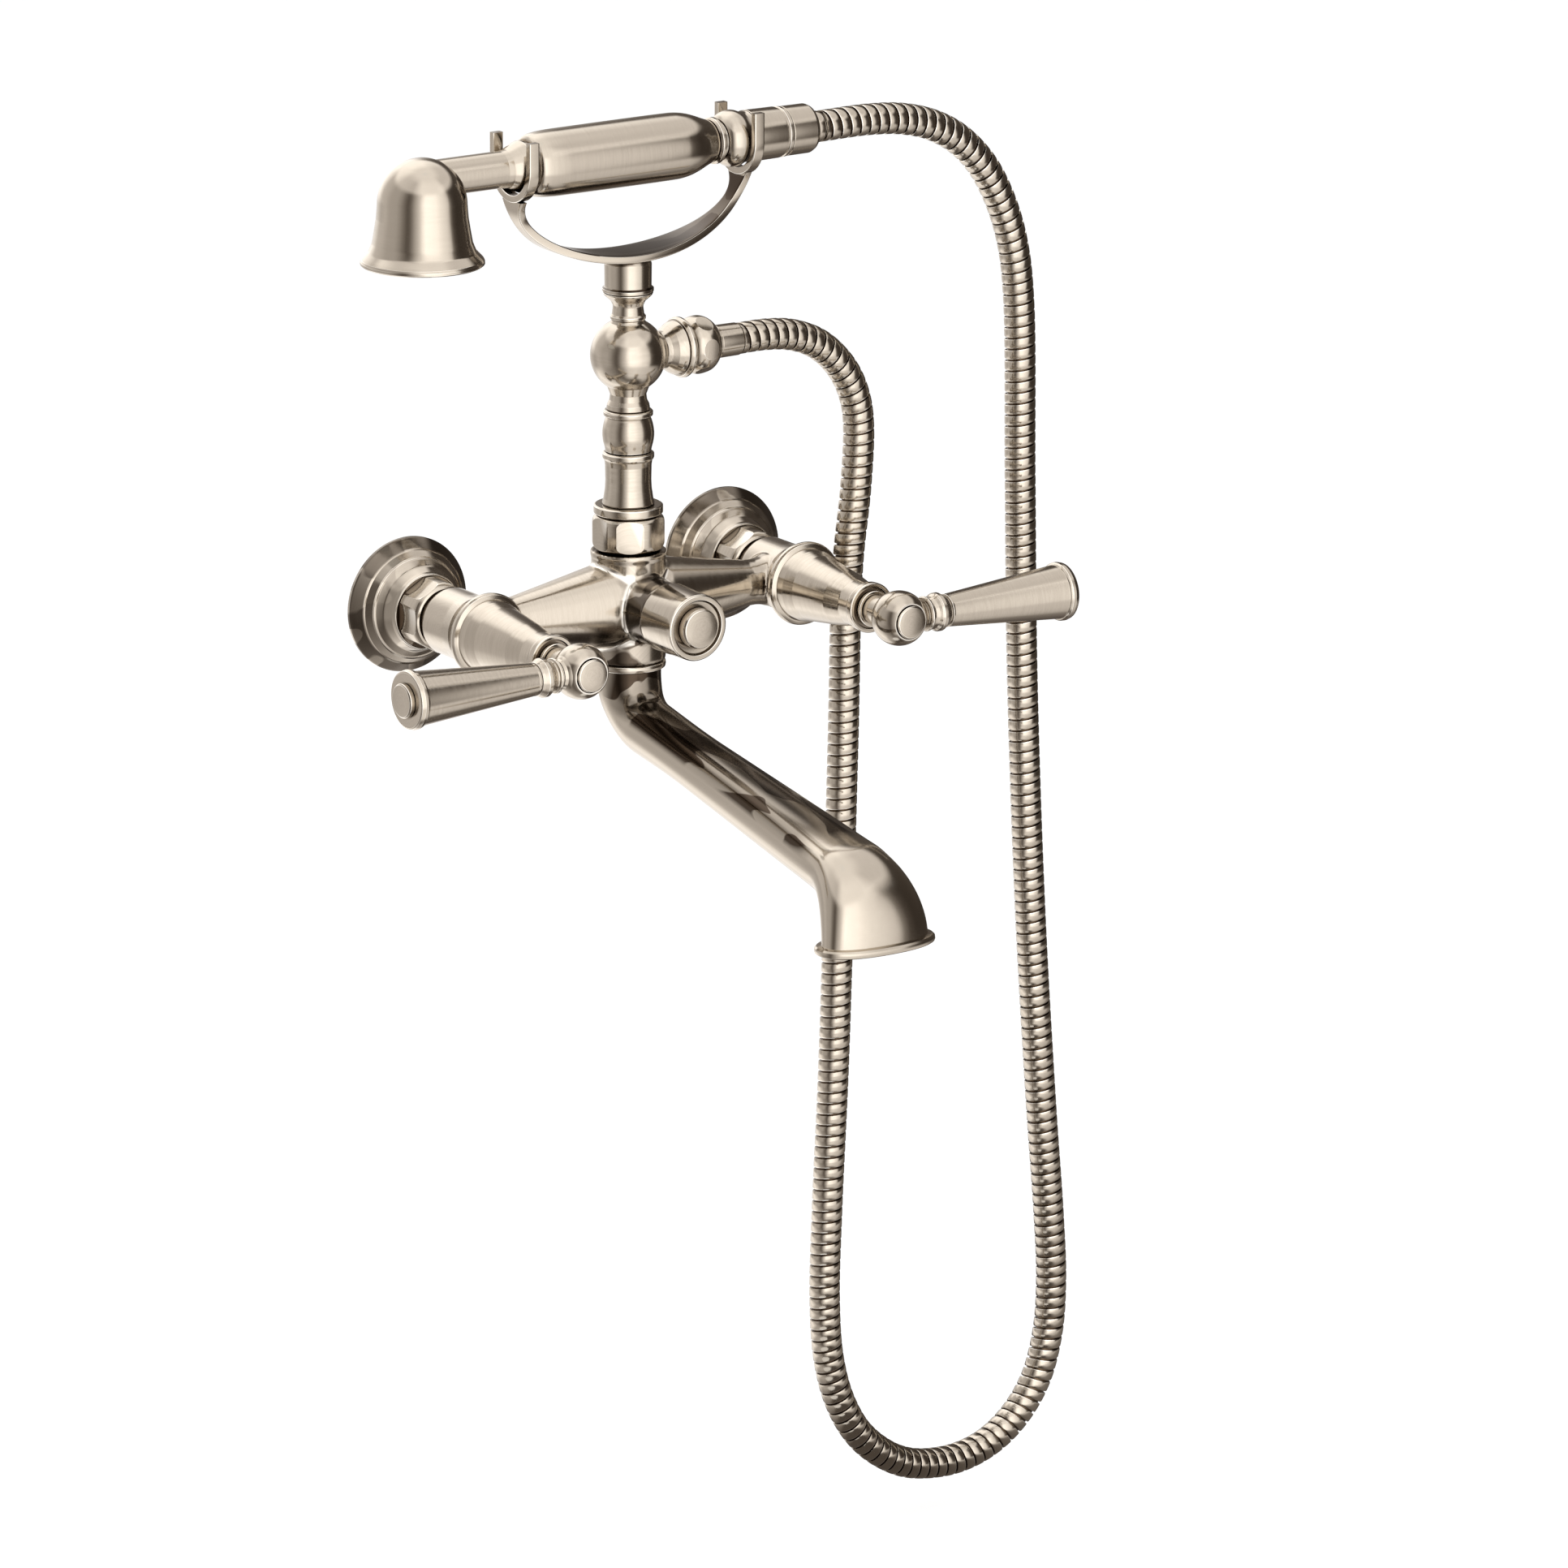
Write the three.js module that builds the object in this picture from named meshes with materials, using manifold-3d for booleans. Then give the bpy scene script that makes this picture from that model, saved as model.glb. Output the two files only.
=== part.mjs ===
// Wall mounted bath mixer with a swivelling spout, a pull-out diverter and a
// hand shower that rests in a cradle on a turned riser.
//
// Millimetres, +Z up. The origin lies on the finished wall, midway between the
// two water inlets. +X runs to the right for someone facing the wall, and -Y
// comes out of the wall. "Station" is a distance along a turned piece's axis.
import * as THREE from "three";
import { mergeVertices } from "three/addons/utils/BufferGeometryUtils.js";
import { ParametricGeometry } from "three/addons/geometries/ParametricGeometry.js";
import Module from "manifold-3d";

const wasm = await Module();
wasm.setup();

// ------------------------------------------------------------------ mesh finish
const facets = 12;                  // sides of a turned piece
const strapSides = 8;               // sides of the cradle strap's section
const fewFacets = 10;               // sides of a small or hidden one

// ---------------------------------------------------------------- clearances
const gap = 0.3;                    // between pieces that touch or fit together
const turn = 0.5;                   // between a handle and what it turns against

// ------------------------------------------------------------- wall and inlets
const inletSpacing = 180;           // between the two wall inlets
const stubDepth = 14;               // threaded stub behind the finished wall
const stubRadius = 10.2;
const unionRadius = 13;             // threaded end that takes the union nut
const waterwayRadius = 7;
const escutcheonRadius = 32.9;
const escutcheonDepth = 19.6;
const escutcheonNeckRadius = 18.5;
const sheetWall = 2;
const unionNutFlats = 32;
const unionNutLength = 16.6;
const unionNutLip = 2.4;            // holds the body's flange
const washerThickness = 1.6;
const tailFlange = 2.6;             // thickness of the body's captive flange
const tailNeckRadius = 10.4;
const tailNeck = 2;                 // seen between the nut and the barrel

// Distances from the wall.
const unionNutStart = escutcheonDepth + gap;
const unionNutEnd = unionNutStart + unionNutLength;
const unionReach = unionNutEnd - unionNutLip - tailFlange - washerThickness - 3 * gap;
const barrelStart = unionNutEnd + tailNeck;

// ------------------------------------------------------------------ the valves
const barrelRadius = 16.3;
const barrelFlareRadius = 18.4;
const barrelLength = 30.5;
const bonnetRingRadius = 20.4;
const bonnetLength = 60.5;          // front of the barrel to the bonnet's front ring
const bonnetWaistRadius = 11.2;
const bonnetWaistLength = 10;
const bonnetTaper = 12;             // between the cone and the waist
const bonnetShoulder = 16;          // from the ring to the cone
const bonnetEndRadius = 12.3;
const bonnetNoseRadius = 8.8;
const bonnetNose = 2.6;
const cartridgeRadius = 9.4;
const cartridgeInset = 19;          // behind the front of the barrel
const cartridgeSetback = 17.5;      // behind the bonnet's front ring
const stemRadius = 4;
const stemGrip = 20;                // length of stem held in the cartridge
const chamberRadius = 12.2;

// Distances from the wall.
const barrelEnd = barrelStart + barrelLength;
const bonnetEnd = barrelEnd + bonnetLength;
const cartridgeStart = barrelEnd - cartridgeInset;
const cartridgeEnd = bonnetEnd - cartridgeSetback;

// ----------------------------------------------------------------- the handles
const hubStandOff = 22.9;           // bonnet's front ring to the hub's centre
const hubRadius = 13.2;
const hubFaceRadius = 9;            // flat on the front of the ball
const hubCapRadius = 7.9;
const hubNeckRadius = 7.8;
const leverTenonRadius = 4.2;
const leverStart = 13;              // hub centre to the lever's first ring
const leverLength = 82.6;           // first ring to the end face
const leverNeckRadius = 7.6;
const leverEndRadius = 13;
const leverBeadRadius = 9.2;
const leverRingRadius = 14.2;
const leverCapRadius = 8.2;
const leverCapHeight = 2.8;
const hubReach = bonnetEnd + hubStandOff;

// ------------------------------------------------------------- the mixer body
const armSetback = 17.1;            // backs of the barrels to the body's centre
const bodyReach = barrelStart + armSetback;
const hubBodyRadius = 17.8;
const hubTop = 26;
const hubBottom = -27.5;
const armInnerRadius = 20.6;
const armOuterRadius = 10.9;
const bossRadius = 15.8;            // boss that takes the diverter
const bossLength = 35.2;            // from the body's centre

// --------------------------------------------------------------- the diverter
const diverterRadius = 12.5;
const knobRadius = 16.7;
const knobFrontRadius = 16.1;
const knobLength = 24.9;
const knobCapRadius = 9.7;
const knobCapHeight = 3.2;
const sealRadius = 9;
const sealThickness = 3;
const diverterTravel = 8;
const sealChamberEnd = 12;          // in front of the body's centre
const sleeveSetback = 11;           // knob's front to the end of the sleeve
const diverterStemGrip = 7;         // length of stem held in the knob

// ------------------------------------------------------------------ the spout
const spoutCollarRadius = 17.9;
const spoutCollarHeight = 3.6;
const spigotRadius = 10;
const swivelPlay = 0.5;             // around the spigot that turns in the body
const spigotHeight = 15;
const spoutNeckRadius = 15.6;
const neckDrop = 2.8;               // straight neck below the collar
const neckBend = 24;                // radius of the centre line at the neck
const spoutFall = 10.3;             // degrees that the spout drops below level
const spoutRun = 169.3;             // straight run between the two bends
const mouthBend = 27;
const mouthDrop = 5.7;              // straight length of the mouth
const mouthHalfWidth = 28.3;
const mouthHalfDepth = 13;
const mouthSquareness = 2.2;        // 2 would be an ellipse
const mouthLip = 3.2;
const mouthLipHeight = 3.6;
const spoutWall = 2.2;
const neckShoulder = 3;             // solid metal under the spout's spigot
const flowPlateThickness = 2.4;

// ------------------------------------------------------------------ the riser
const riserNutFlats = 32;
const riserNutHeight = 17.4;
const riserSpigotHeight = 8;
const riserCollarRadius = 16.6;
const riserCollarHeight = 4.3;
const riserFootRadius = 12.5;
const riserWaistRadius = 11;
const riserRingRadius = 12.4;
const riserLowerTop = 74;
const balusterTop = 94.4;
const balusterRadius = 12.4;
const balusterRingRadius = 11.9;
const tenonRadius = 7.2;
const ballRadius = 18.1;
const ballHeight = 120.8;
const ballNeckRadius = 8.8;
const teeTop = 151.4;
const teeCupRadius = 12;
const outletReach = 35.4;           // riser axis to the outlet's face
const outletRadius = 12.9;
const outletThreadRadius = 9.8;
const outletThread = 8;
const checkValveRadius = 6.2;
const checkValveLength = 10;

// ----------------------------------------------------------------- the cradle
const postLength = 15.7;            // ball tee to the strap
const postRadius = 11.3;
const postRingRadius = 12.3;
const cradleHalfWidth = 61.4;       // inside of the strap
const cradleDepth = 31.6;
const strapThickness = 4;
const strapWidth = 6.5;             // narrowest, below the forks
const strapFootWidth = 24;          // where the strap meets the post
const forkFlare = 10;               // how much the strap widens into a fork
const forkOffset = 63.3;            // riser axis to each fork
const forkWidth = 5.5;
const forkInner = 14;
const forkThickness = 3.6;
const forkReach = 14.3;             // above the shower's axis
const cradleStudSink = 10.6;        // length of the stud in the ball tee
const cradleStudReach = 11;         // length of the stud in the cradle
const postBottom = teeTop + gap;
const strapBottom = postBottom + postLength;
const cradleLevel = strapBottom + strapThickness + cradleDepth;      // the strap's ends

// ------------------------------------------------------------ the hand shower
const showerSeat = 15.7;            // strap's ends to the shower's axis
const bellOffset = 114.5;           // riser axis to the bell's axis
const bellRadius = 22;
const bellRimRadius = 29.3;
const bellCrown = 10.5;             // above the shower's axis
const bellDrop = 40.1;              // below it
const bellWall = 1.8;
const sprayPlateThickness = 2.4;
const coreRadius = 7;
const showerNeckRadius = 8.8;
const collarRadius = 12.5;
const collarEnd = 57;               // left of the riser axis
const gripRadius = 15.3;
const gripEnd = 46;                 // right of the riser axis
const ferruleLength = 4.8;
const ferruleRadius = 11.3;
const beadRadius = 13.7;
const beadLength = 15.6;
const connectorRadius = 12.5;
const connectorLength = 24;
const connectorThread = 9;
const connectorThreadRadius = 9.3;
const showerNutLength = 17.4;
const showerNutRadius = 11.8;
const gripShoulder = 18;            // length over which each end of the grip swells
const showerHeight = cradleLevel + showerSeat;
const forkTop = showerHeight + forkReach;

// -------------------------------------------------------------------- the hose
const hoseRadius = 7;
const hoseNutFlats = 24;
const hoseNutLength = 16.8;
const hoseFerruleRadius = 8;
const hoseEnd = 66.3;               // right of the riser axis, at the valve end

// ------------------------------------------------------------------- materials
const metal = (color, roughness, metalness) =>
  new THREE.MeshStandardMaterial({ color, roughness, metalness });
const nickel = metal(0xb5a999, 0.32, 1);
const brass = metal(0xb5934f, 0.45, 1);
const steel = metal(0x9a9a98, 0.35, 1);
const rubber = metal(0x1c1c1d, 0.85, 0);
const nylon = metal(0xd8d6cf, 0.6, 0);
const hoseMetal = metal(0x9d9080, 0.35, 1);

// ----------------------------------------------------------------- shape tools
// A closed triangle mesh with its faces pointing out.
function closed(geometry) {
  const bare = geometry.index ? geometry.clone() : geometry;
  bare.deleteAttribute("normal");
  bare.deleteAttribute("uv");
  const merged = mergeVertices(bare, 1e-3);
  const place = merged.getAttribute("position");
  const old = merged.getIndex().array;
  const kept = [];
  let volume = 0;
  const [a, b, c] = [new THREE.Vector3(), new THREE.Vector3(), new THREE.Vector3()];
  for (let i = 0; i < old.length; i += 3) {
    const [p, q, r] = [old[i], old[i + 1], old[i + 2]];
    if (p === q || q === r || r === p) continue;
    kept.push(p, q, r);
    a.fromBufferAttribute(place, p);
    b.fromBufferAttribute(place, q);
    c.fromBufferAttribute(place, r);
    volume += a.dot(b.cross(c));
  }
  if (volume < 0) {
    for (let i = 0; i < kept.length; i += 3) {
      [kept[i + 1], kept[i + 2]] = [kept[i + 2], kept[i + 1]];
    }
  }
  merged.setIndex(kept);
  merged.computeVertexNormals();
  return merged;
}

function toManifold(geometry) {
  const shape = closed(geometry);
  return new wasm.Manifold(new wasm.Mesh({
    numProp: 3,
    vertProperties: new Float32Array(shape.getAttribute("position").array),
    triVerts: new Uint32Array(shape.getIndex().array),
  }));
}

function toGeometry(solid) {
  const mesh = solid.getMesh();
  const shape = new THREE.BufferGeometry();
  shape.setAttribute("position", new THREE.BufferAttribute(mesh.vertProperties, 3));
  shape.setIndex(new THREE.BufferAttribute(mesh.triVerts, 1));
  return shape;
}

function join(...shapes) {
  return toGeometry(shapes.map(toManifold).reduce((sum, next) => sum.add(next)));
}

function cut(shape, ...tools) {
  return toGeometry(tools.map(toManifold).reduce((rest, tool) => rest.subtract(tool), toManifold(shape)));
}

function overlap(shape, other) {
  return toGeometry(toManifold(shape).intersect(toManifold(other)));
}

// A turned piece: [station, radius] points along +Y. The outline starts and
// ends on the axis, or closes on itself where the piece has a hole through it.
function turned(points, segments = facets) {
  const outline = points.map(([station, radius]) => new THREE.Vector2(radius, station));
  if (points[0][1] > 0) outline.push(outline[0].clone());
  return closed(new THREE.LatheGeometry(outline, segments));
}

const up = (shape) => shape.rotateX(Math.PI / 2);          // along +Z
const outward = (shape) => shape.rotateX(Math.PI);         // along -Y, out of the wall
const right = (shape) => shape.rotateZ(-Math.PI / 2);      // along +X

// A plain rod, along +Y, between two stations.
function rod(from, to, radius, segments = facets) {
  return turned([[from, 0], [from, radius], [to, radius], [to, 0]], segments);
}

// A ring between two stations.
function ring(from, to, inner, outer, segments = facets) {
  return turned([[from, inner], [from, outer], [to, outer], [to, inner]], segments);
}

// A hexagon nut along +Y with chamfered corners. The bore is a turned outline.
function hexNut(from, to, flats, bore, chamfer = 2.2) {
  const corner = flats / Math.sqrt(3);
  const outline = new THREE.Shape();
  for (let i = 0; i < 6; i += 1) {
    const angle = (i + 0.5) * Math.PI / 3;
    const point = [corner * Math.cos(angle), corner * Math.sin(angle)];
    if (i === 0) outline.moveTo(...point);
    else outline.lineTo(...point);
  }
  outline.closePath();
  const prism = new THREE.ExtrudeGeometry(outline, { depth: to - from, bevelEnabled: false });
  prism.rotateX(-Math.PI / 2).translate(0, from, 0);
  const edge = flats / 2 - 0.4;
  const rounded = turned([[from, 0], [from, edge], [from + chamfer, corner], [to - chamfer, corner],
    [to, edge], [to, 0]]);
  return cut(overlap(prism, rounded), bore);
}

// A solid swept through sections. Each section gives its centre [x, y, z], its
// two half axes as vectors, and how square its outline is (2 is an ellipse).
function swept(sections, around = facets) {
  const rows = [sections[0], ...sections, sections[sections.length - 1]];
  const last = rows.length - 1;
  const point = (turnPart, along, target) => {
    const row = Math.round(along * last);
    const { at, wide, deep, square = 2 } = rows[row];
    const size = row === 0 || row === last ? 0 : 1;
    const angle = turnPart * 2 * Math.PI;
    const power = (value) => size * Math.sign(value) * Math.abs(value) ** (2 / square);
    target.copy(at);
    target.addScaledVector(wide, power(Math.cos(angle)));
    target.addScaledVector(deep, power(Math.sin(angle)));
  };
  return closed(new ParametricGeometry(point, around, last));
}

function piece(name, shape, material, parent) {
  const mesh = new THREE.Mesh(closed(shape), material);
  mesh.name = name;
  parent.add(mesh);
}

const faucet = new THREE.Group();

// ------------------------------------------------- wall unions and escutcheons
function wallInlet(side, parent) {
  piece(`wall_union_${side}`, outward(turned([
    [-stubDepth, waterwayRadius], [-stubDepth, stubRadius], [1, stubRadius], [4, unionRadius],
    [unionReach, unionRadius], [unionReach, waterwayRadius]])), brass, parent);

  const neck = escutcheonNeckRadius;
  const shell = [
    [0, escutcheonRadius], [1.4, escutcheonRadius], [3.4, escutcheonRadius - 0.9],
    [escutcheonDepth * 0.38, escutcheonRadius - 4], [escutcheonDepth * 0.41, escutcheonRadius - 5.2],
    [escutcheonDepth * 0.47, neck + 6.4], [escutcheonDepth * 0.51, neck + 5.4],
    [escutcheonDepth * 0.66, neck + 2.4], [escutcheonDepth * 0.86, neck + 0.5], [escutcheonDepth, neck]];
  const inside = [[escutcheonDepth - sheetWall, neck - sheetWall], [escutcheonDepth * 0.62, neck + 1],
    [escutcheonDepth * 0.4, escutcheonRadius - 7.4], [3, escutcheonRadius - 2.4 - sheetWall]];
  piece(`escutcheon_${side}`, outward(turned([
    ...shell, [escutcheonDepth, unionRadius + gap], [escutcheonDepth - sheetWall, unionRadius + gap],
    ...inside, [0, escutcheonRadius - sheetWall]])), nickel, parent);

  const bore = turned([
    [unionNutStart - 1, 0], [unionNutStart - 1, unionRadius + gap],
    [unionReach + washerThickness + tailFlange + 3 * gap, unionRadius + gap],
    [unionReach + washerThickness + tailFlange + 3 * gap, tailNeckRadius + gap],
    [unionNutEnd + 1, tailNeckRadius + gap], [unionNutEnd + 1, 0]]);
  const nut = hexNut(unionNutStart, unionNutEnd, unionNutFlats, bore);
  piece(`union_nut_${side}`, outward(nut), nickel, parent);
  piece(`inlet_washer_${side}`, outward(ring(unionReach + gap, unionReach + gap + washerThickness,
    waterwayRadius + 0.8, unionRadius - 0.4)), rubber, parent);
}

// --------------------------------------------------- bonnets, cartridges, stems
const bonnetThread = 12;            // inside the barrel
const bonnetStart = barrelEnd + gap;
const bonnetBore = cartridgeRadius + gap;
const noseEnd = bonnetEnd + bonnetNose;
const hubStart = noseEnd + turn;
const stemEnd = hubReach - leverTenonRadius - 2.2;

function valve(side, parent) {
  const bonnetThreadRadius = chamberRadius - gap;
  piece(`valve_bonnet_${side}`, outward(turned([
    [barrelEnd - bonnetThread, bonnetBore], [barrelEnd - bonnetThread, bonnetThreadRadius],
    [bonnetStart, bonnetThreadRadius], [bonnetStart, barrelFlareRadius],
    [bonnetStart + 0.9, bonnetRingRadius - 0.4], [bonnetStart + 2.4, bonnetRingRadius],
    [bonnetStart + 4.4, bonnetRingRadius - 0.4], [bonnetStart + 5.4, barrelFlareRadius],
    [bonnetStart + bonnetShoulder, barrelFlareRadius - 2.4],
    [bonnetEnd - bonnetWaistLength - bonnetTaper, bonnetWaistRadius + 2.2],
    [bonnetEnd - bonnetWaistLength, bonnetWaistRadius],
    [bonnetEnd - 5, bonnetWaistRadius], [bonnetEnd - 3.2, bonnetEndRadius - 0.3],
    [bonnetEnd - 1.6, bonnetEndRadius], [bonnetEnd, bonnetEndRadius - 0.3],
    [bonnetEnd, bonnetNoseRadius], [noseEnd, bonnetNoseRadius],
    [noseEnd, stemRadius + gap + 0.5], [cartridgeEnd + gap, stemRadius + gap + 0.5],
    [cartridgeEnd + gap, bonnetBore]])), nickel, parent);
  const stemSocket = cartridgeEnd - stemGrip;
  piece(`valve_cartridge_${side}`, outward(turned([
    [cartridgeStart, 0], [cartridgeStart, cartridgeRadius - 1.2],
    [cartridgeStart + 6, cartridgeRadius - 1.2], [cartridgeStart + 6, cartridgeRadius],
    [cartridgeEnd, cartridgeRadius], [cartridgeEnd, stemRadius + gap],
    [stemSocket - gap, stemRadius + gap], [stemSocket - gap, 0]])), brass, parent);
  piece(`valve_stem_${side}`, outward(rod(stemSocket, stemEnd, stemRadius, fewFacets)), brass, parent);
}

// ------------------------------------------------------------------ the handles
function handle(side, parent) {
  const faceOffset = Math.sqrt(hubRadius ** 2 - hubFaceRadius ** 2);
  const face = hubReach + faceOffset;
  const screwHead = 3.6;
  const screwShank = 2;
  const recess = face - 3.4;
  const ball = [];
  for (let i = 0; i <= 8; i += 1) {
    const from = Math.acos(-Math.sqrt(1 - (hubNeckRadius / hubRadius) ** 2));
    const to = Math.acos(faceOffset / hubRadius);
    const angle = from + (to - from) * i / 8;
    ball.push([hubReach + hubRadius * Math.cos(angle), hubRadius * Math.sin(angle)]);
  }
  const turnedHub = turned([[hubStart, 0], [hubStart, hubNeckRadius - 0.6], ...ball, [face, 0]]);
  const sideNeck = right(rod(0, leverStart - gap, leverNeckRadius - 0.7));
  sideNeck.translate(0, -hubReach, 0);
  const sideHole = right(rod(leverTenonRadius + 0.6, leverStart + 1, leverTenonRadius + gap));
  sideHole.translate(0, -hubReach, 0);
  const stemHole = outward(rod(hubStart - 1, stemEnd + gap, stemRadius + gap, fewFacets));
  const screwHole = outward(rod(stemEnd, recess + 1, screwShank + gap, fewFacets));
  const headHole = outward(rod(recess, face + 1, screwHead + gap, fewFacets));
  piece(`handle_hub_${side}`,
    cut(join(outward(turnedHub), sideNeck), sideHole, stemHole, screwHole, headHole), nickel, parent);
  piece(`handle_screw_${side}`, outward(turned([
    [stemEnd + gap, 0], [stemEnd + gap, screwShank], [recess + gap, screwShank], [recess + gap, screwHead],
    [recess + gap + 2, screwHead], [recess + gap + 2, 0]], fewFacets)), steel, parent);
  piece(`hub_cap_${side}`, outward(turned([
    [face + gap, 0], [face + gap, hubCapRadius], [face + gap + 0.8, hubCapRadius],
    [face + gap + 1.3, hubCapRadius - 0.6], [face + gap + 1.5, 0]])), nickel, parent);

  const leverEnd = leverStart + leverLength;
  const bead = leverStart + 9;
  const cone = bead + 9.4;
  const coneEnd = leverEnd - 4.6;
  const capPeg = 3;
  const lever = right(turned([
    [leverTenonRadius + 0.6 + gap, 0], [leverTenonRadius + 0.6 + gap, leverTenonRadius],
    [leverStart, leverTenonRadius],
    [leverStart, leverNeckRadius - 0.6], [leverStart + 3.2, leverNeckRadius - 0.6],
    [leverStart + 3.8, leverNeckRadius + 0.5], [leverStart + 5, leverNeckRadius + 1],
    [leverStart + 6.2, leverNeckRadius + 0.5], [bead - 1.6, leverNeckRadius + 0.3],
    [bead + 2, leverBeadRadius], [bead + 5, leverBeadRadius - 0.1], [cone - 0.6, leverNeckRadius + 0.6],
    [cone, leverNeckRadius], [coneEnd, leverEndRadius], [coneEnd + 0.5, leverRingRadius - 0.4],
    [coneEnd + 2.1, leverRingRadius], [leverEnd - 0.6, leverRingRadius - 0.6],
    [leverEnd, leverRingRadius - 1.6],
    [leverEnd, capPeg + gap], [leverEnd - 6, capPeg + gap], [leverEnd - 6, 0]]));
  piece(`handle_lever_${side}`, lever.translate(0, -hubReach, 0), nickel, parent);
  const cap = right(turned([
    [leverEnd - 6 + gap, 0], [leverEnd - 6 + gap, capPeg], [leverEnd + gap, capPeg],
    [leverEnd + gap, leverCapRadius], [leverEnd + leverCapHeight - 0.8, leverCapRadius],
    [leverEnd + leverCapHeight, leverCapRadius - 0.9], [leverEnd + leverCapHeight + 0.2, 0]]));
  piece(`lever_end_cap_${side}`, cap.translate(0, -hubReach, 0), nickel, parent);
}

for (const [side, sign] of [["left", -1], ["right", 1]]) {
  const line = new THREE.Group();
  line.position.x = sign * inletSpacing / 2;
  line.rotation.y = sign < 0 ? Math.PI : 0;
  wallInlet(side, line);
  valve(side, line);
  handle(side, line);
  faucet.add(line);
}

// --------------------------------------------------------------- the mixer body
const centre = new THREE.Group();      // the axis shared by riser, body and spout
centre.position.y = -bodyReach;
faucet.add(centre);

function mixerBody() {
  const tail = unionReach + washerThickness + 2 * gap;
  const armEnd = inletSpacing / 2 - barrelRadius;
  const solids = [];
  const bores = [];
  for (const sign of [-1, 1]) {
    const x = sign * inletSpacing / 2;
    solids.push(outward(turned([
      [tail, 0], [tail, unionRadius],
      [tail + tailFlange, unionRadius], [tail + tailFlange, tailNeckRadius],
      [barrelStart - 0.8, tailNeckRadius], [barrelStart - 0.8, barrelRadius - 1],
      [barrelStart, barrelRadius],
      [barrelEnd - 10, barrelRadius], [barrelEnd - 5, barrelRadius + 0.7], [barrelEnd, barrelFlareRadius],
      [barrelEnd, 0]])).translate(x, bodyReach, 0));
    bores.push(outward(rod(tail - 1, cartridgeStart + 1, waterwayRadius)).translate(x, bodyReach, 0));
    bores.push(outward(rod(cartridgeStart - 2, barrelEnd + 1, chamberRadius)).translate(x, bodyReach, 0));
  }
  const armRoot = barrelEnd - bodyReach - 0.5;      // stays behind the barrel's open end
  const halfArm = [[hubBodyRadius - 3, armInnerRadius], [armEnd - 6, armOuterRadius],
    [armEnd - 1, armOuterRadius + 0.3], [armEnd + 3, armRoot - 0.8], [armEnd + 5, armRoot],
    [armEnd + 12, armRoot]];
  const tip = armEnd + 12;
  const arms = right(turned([
    [-tip, 0], ...halfArm.slice().reverse().map(([station, radius]) => [-station, radius]),
    ...halfArm, [tip, 0]]));
  const spigotTop = hubTop + riserSpigotHeight;
  const post = up(turned([
    [hubBottom, 0], [hubBottom, hubBodyRadius - 1], [hubBottom + 1, hubBodyRadius],
    [hubTop - 3, hubBodyRadius], [hubTop - 2, hubBodyRadius + 0.3], [hubTop, hubBodyRadius + 0.2],
    [hubTop, unionRadius], [spigotTop, unionRadius], [spigotTop, 0]]));
  const boss = outward(turned([
    [0, 0], [0, bossRadius], [bossLength - 1, bossRadius], [bossLength, bossRadius - 0.8],
    [bossLength, 0]]));
  const crossBore = right(rod(-inletSpacing / 2, inletSpacing / 2, waterwayRadius - 0.5));
  const riserBore = up(rod(0, spigotTop + 1, waterwayRadius + 0.5));
  const spoutBore = up(rod(hubBottom - 1, 0, waterwayRadius + 0.5));
  const socketTop = hubBottom + spigotHeight - spoutCollarHeight - gap;
  const spoutSocket = up(rod(hubBottom - 1, socketTop, spigotRadius + swivelPlay));
  const sealChamber = outward(rod(-sealRadius - 0.6, sealChamberEnd, sealRadius + 0.6));
  const diverterBore = outward(rod(sealChamberEnd - 4, bossLength + 1, diverterRadius + gap));
  return cut(join(arms, post, boss, ...solids),
    crossBore, riserBore, spoutBore, spoutSocket, sealChamber, diverterBore, ...bores);
}
piece("mixer_body", mixerBody(), nickel, centre);

// ----------------------------------------------------------------- the diverter
const knobStart = bossLength + gap;
const knobFront = bossLength + knobLength;
const diverterSleeveEnd = knobFront - sleeveSetback;
const diverterStemEnd = diverterSleeveEnd + diverterStemGrip;
const sealStation = -sealRadius + 0.6;
piece("diverter_sleeve", outward(turned([
  [sealStation + sealRadius + diverterTravel + 8, stemRadius + gap],
  [sealStation + sealRadius + diverterTravel + 8, diverterRadius],
  [diverterSleeveEnd, diverterRadius], [diverterSleeveEnd, stemRadius + gap]])), brass, centre);
piece("diverter_stem", outward(
  rod(sealStation + sealThickness + gap, diverterStemEnd, stemRadius, fewFacets)), brass, centre);
piece("diverter_seal", outward(rod(sealStation, sealStation + sealThickness, sealRadius)), rubber, centre);
piece("diverter_knob", outward(turned([
  [diverterStemEnd + gap, 0], [diverterStemEnd + gap, stemRadius + gap],
  [diverterSleeveEnd + gap, stemRadius + gap], [diverterSleeveEnd + gap, diverterRadius + gap],
  [knobStart, diverterRadius + gap], [knobStart, knobRadius - 0.5], [knobStart + 0.6, knobRadius],
  [knobFront - 4, knobFrontRadius], [knobFront - 0.8, knobFrontRadius],
  [knobFront, knobFrontRadius - 0.8], [knobFront, knobFrontRadius - 2.6],
  [knobFront - 1.6, knobFrontRadius - 3.4], [knobFront - 1.6, 0]])), nickel, centre);
piece("diverter_cap", outward(turned([
  [knobFront - 1.6 + gap, 0], [knobFront - 1.6 + gap, knobCapRadius],
  [knobFront + knobCapHeight - 0.8, knobCapRadius],
  [knobFront + knobCapHeight, knobCapRadius - 0.8],
  [knobFront + knobCapHeight + 0.2, 0]])), nickel, centre);

// -------------------------------------------------------------------- the spout
// The centre line runs down, forward and down again, in the plane x = 0.
const spoutTop = hubBottom - gap - spoutCollarHeight - gap;
const fall = THREE.MathUtils.degToRad(spoutFall);
const plumb = Math.PI / 2;
const neckTurn = plumb - fall;

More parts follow.
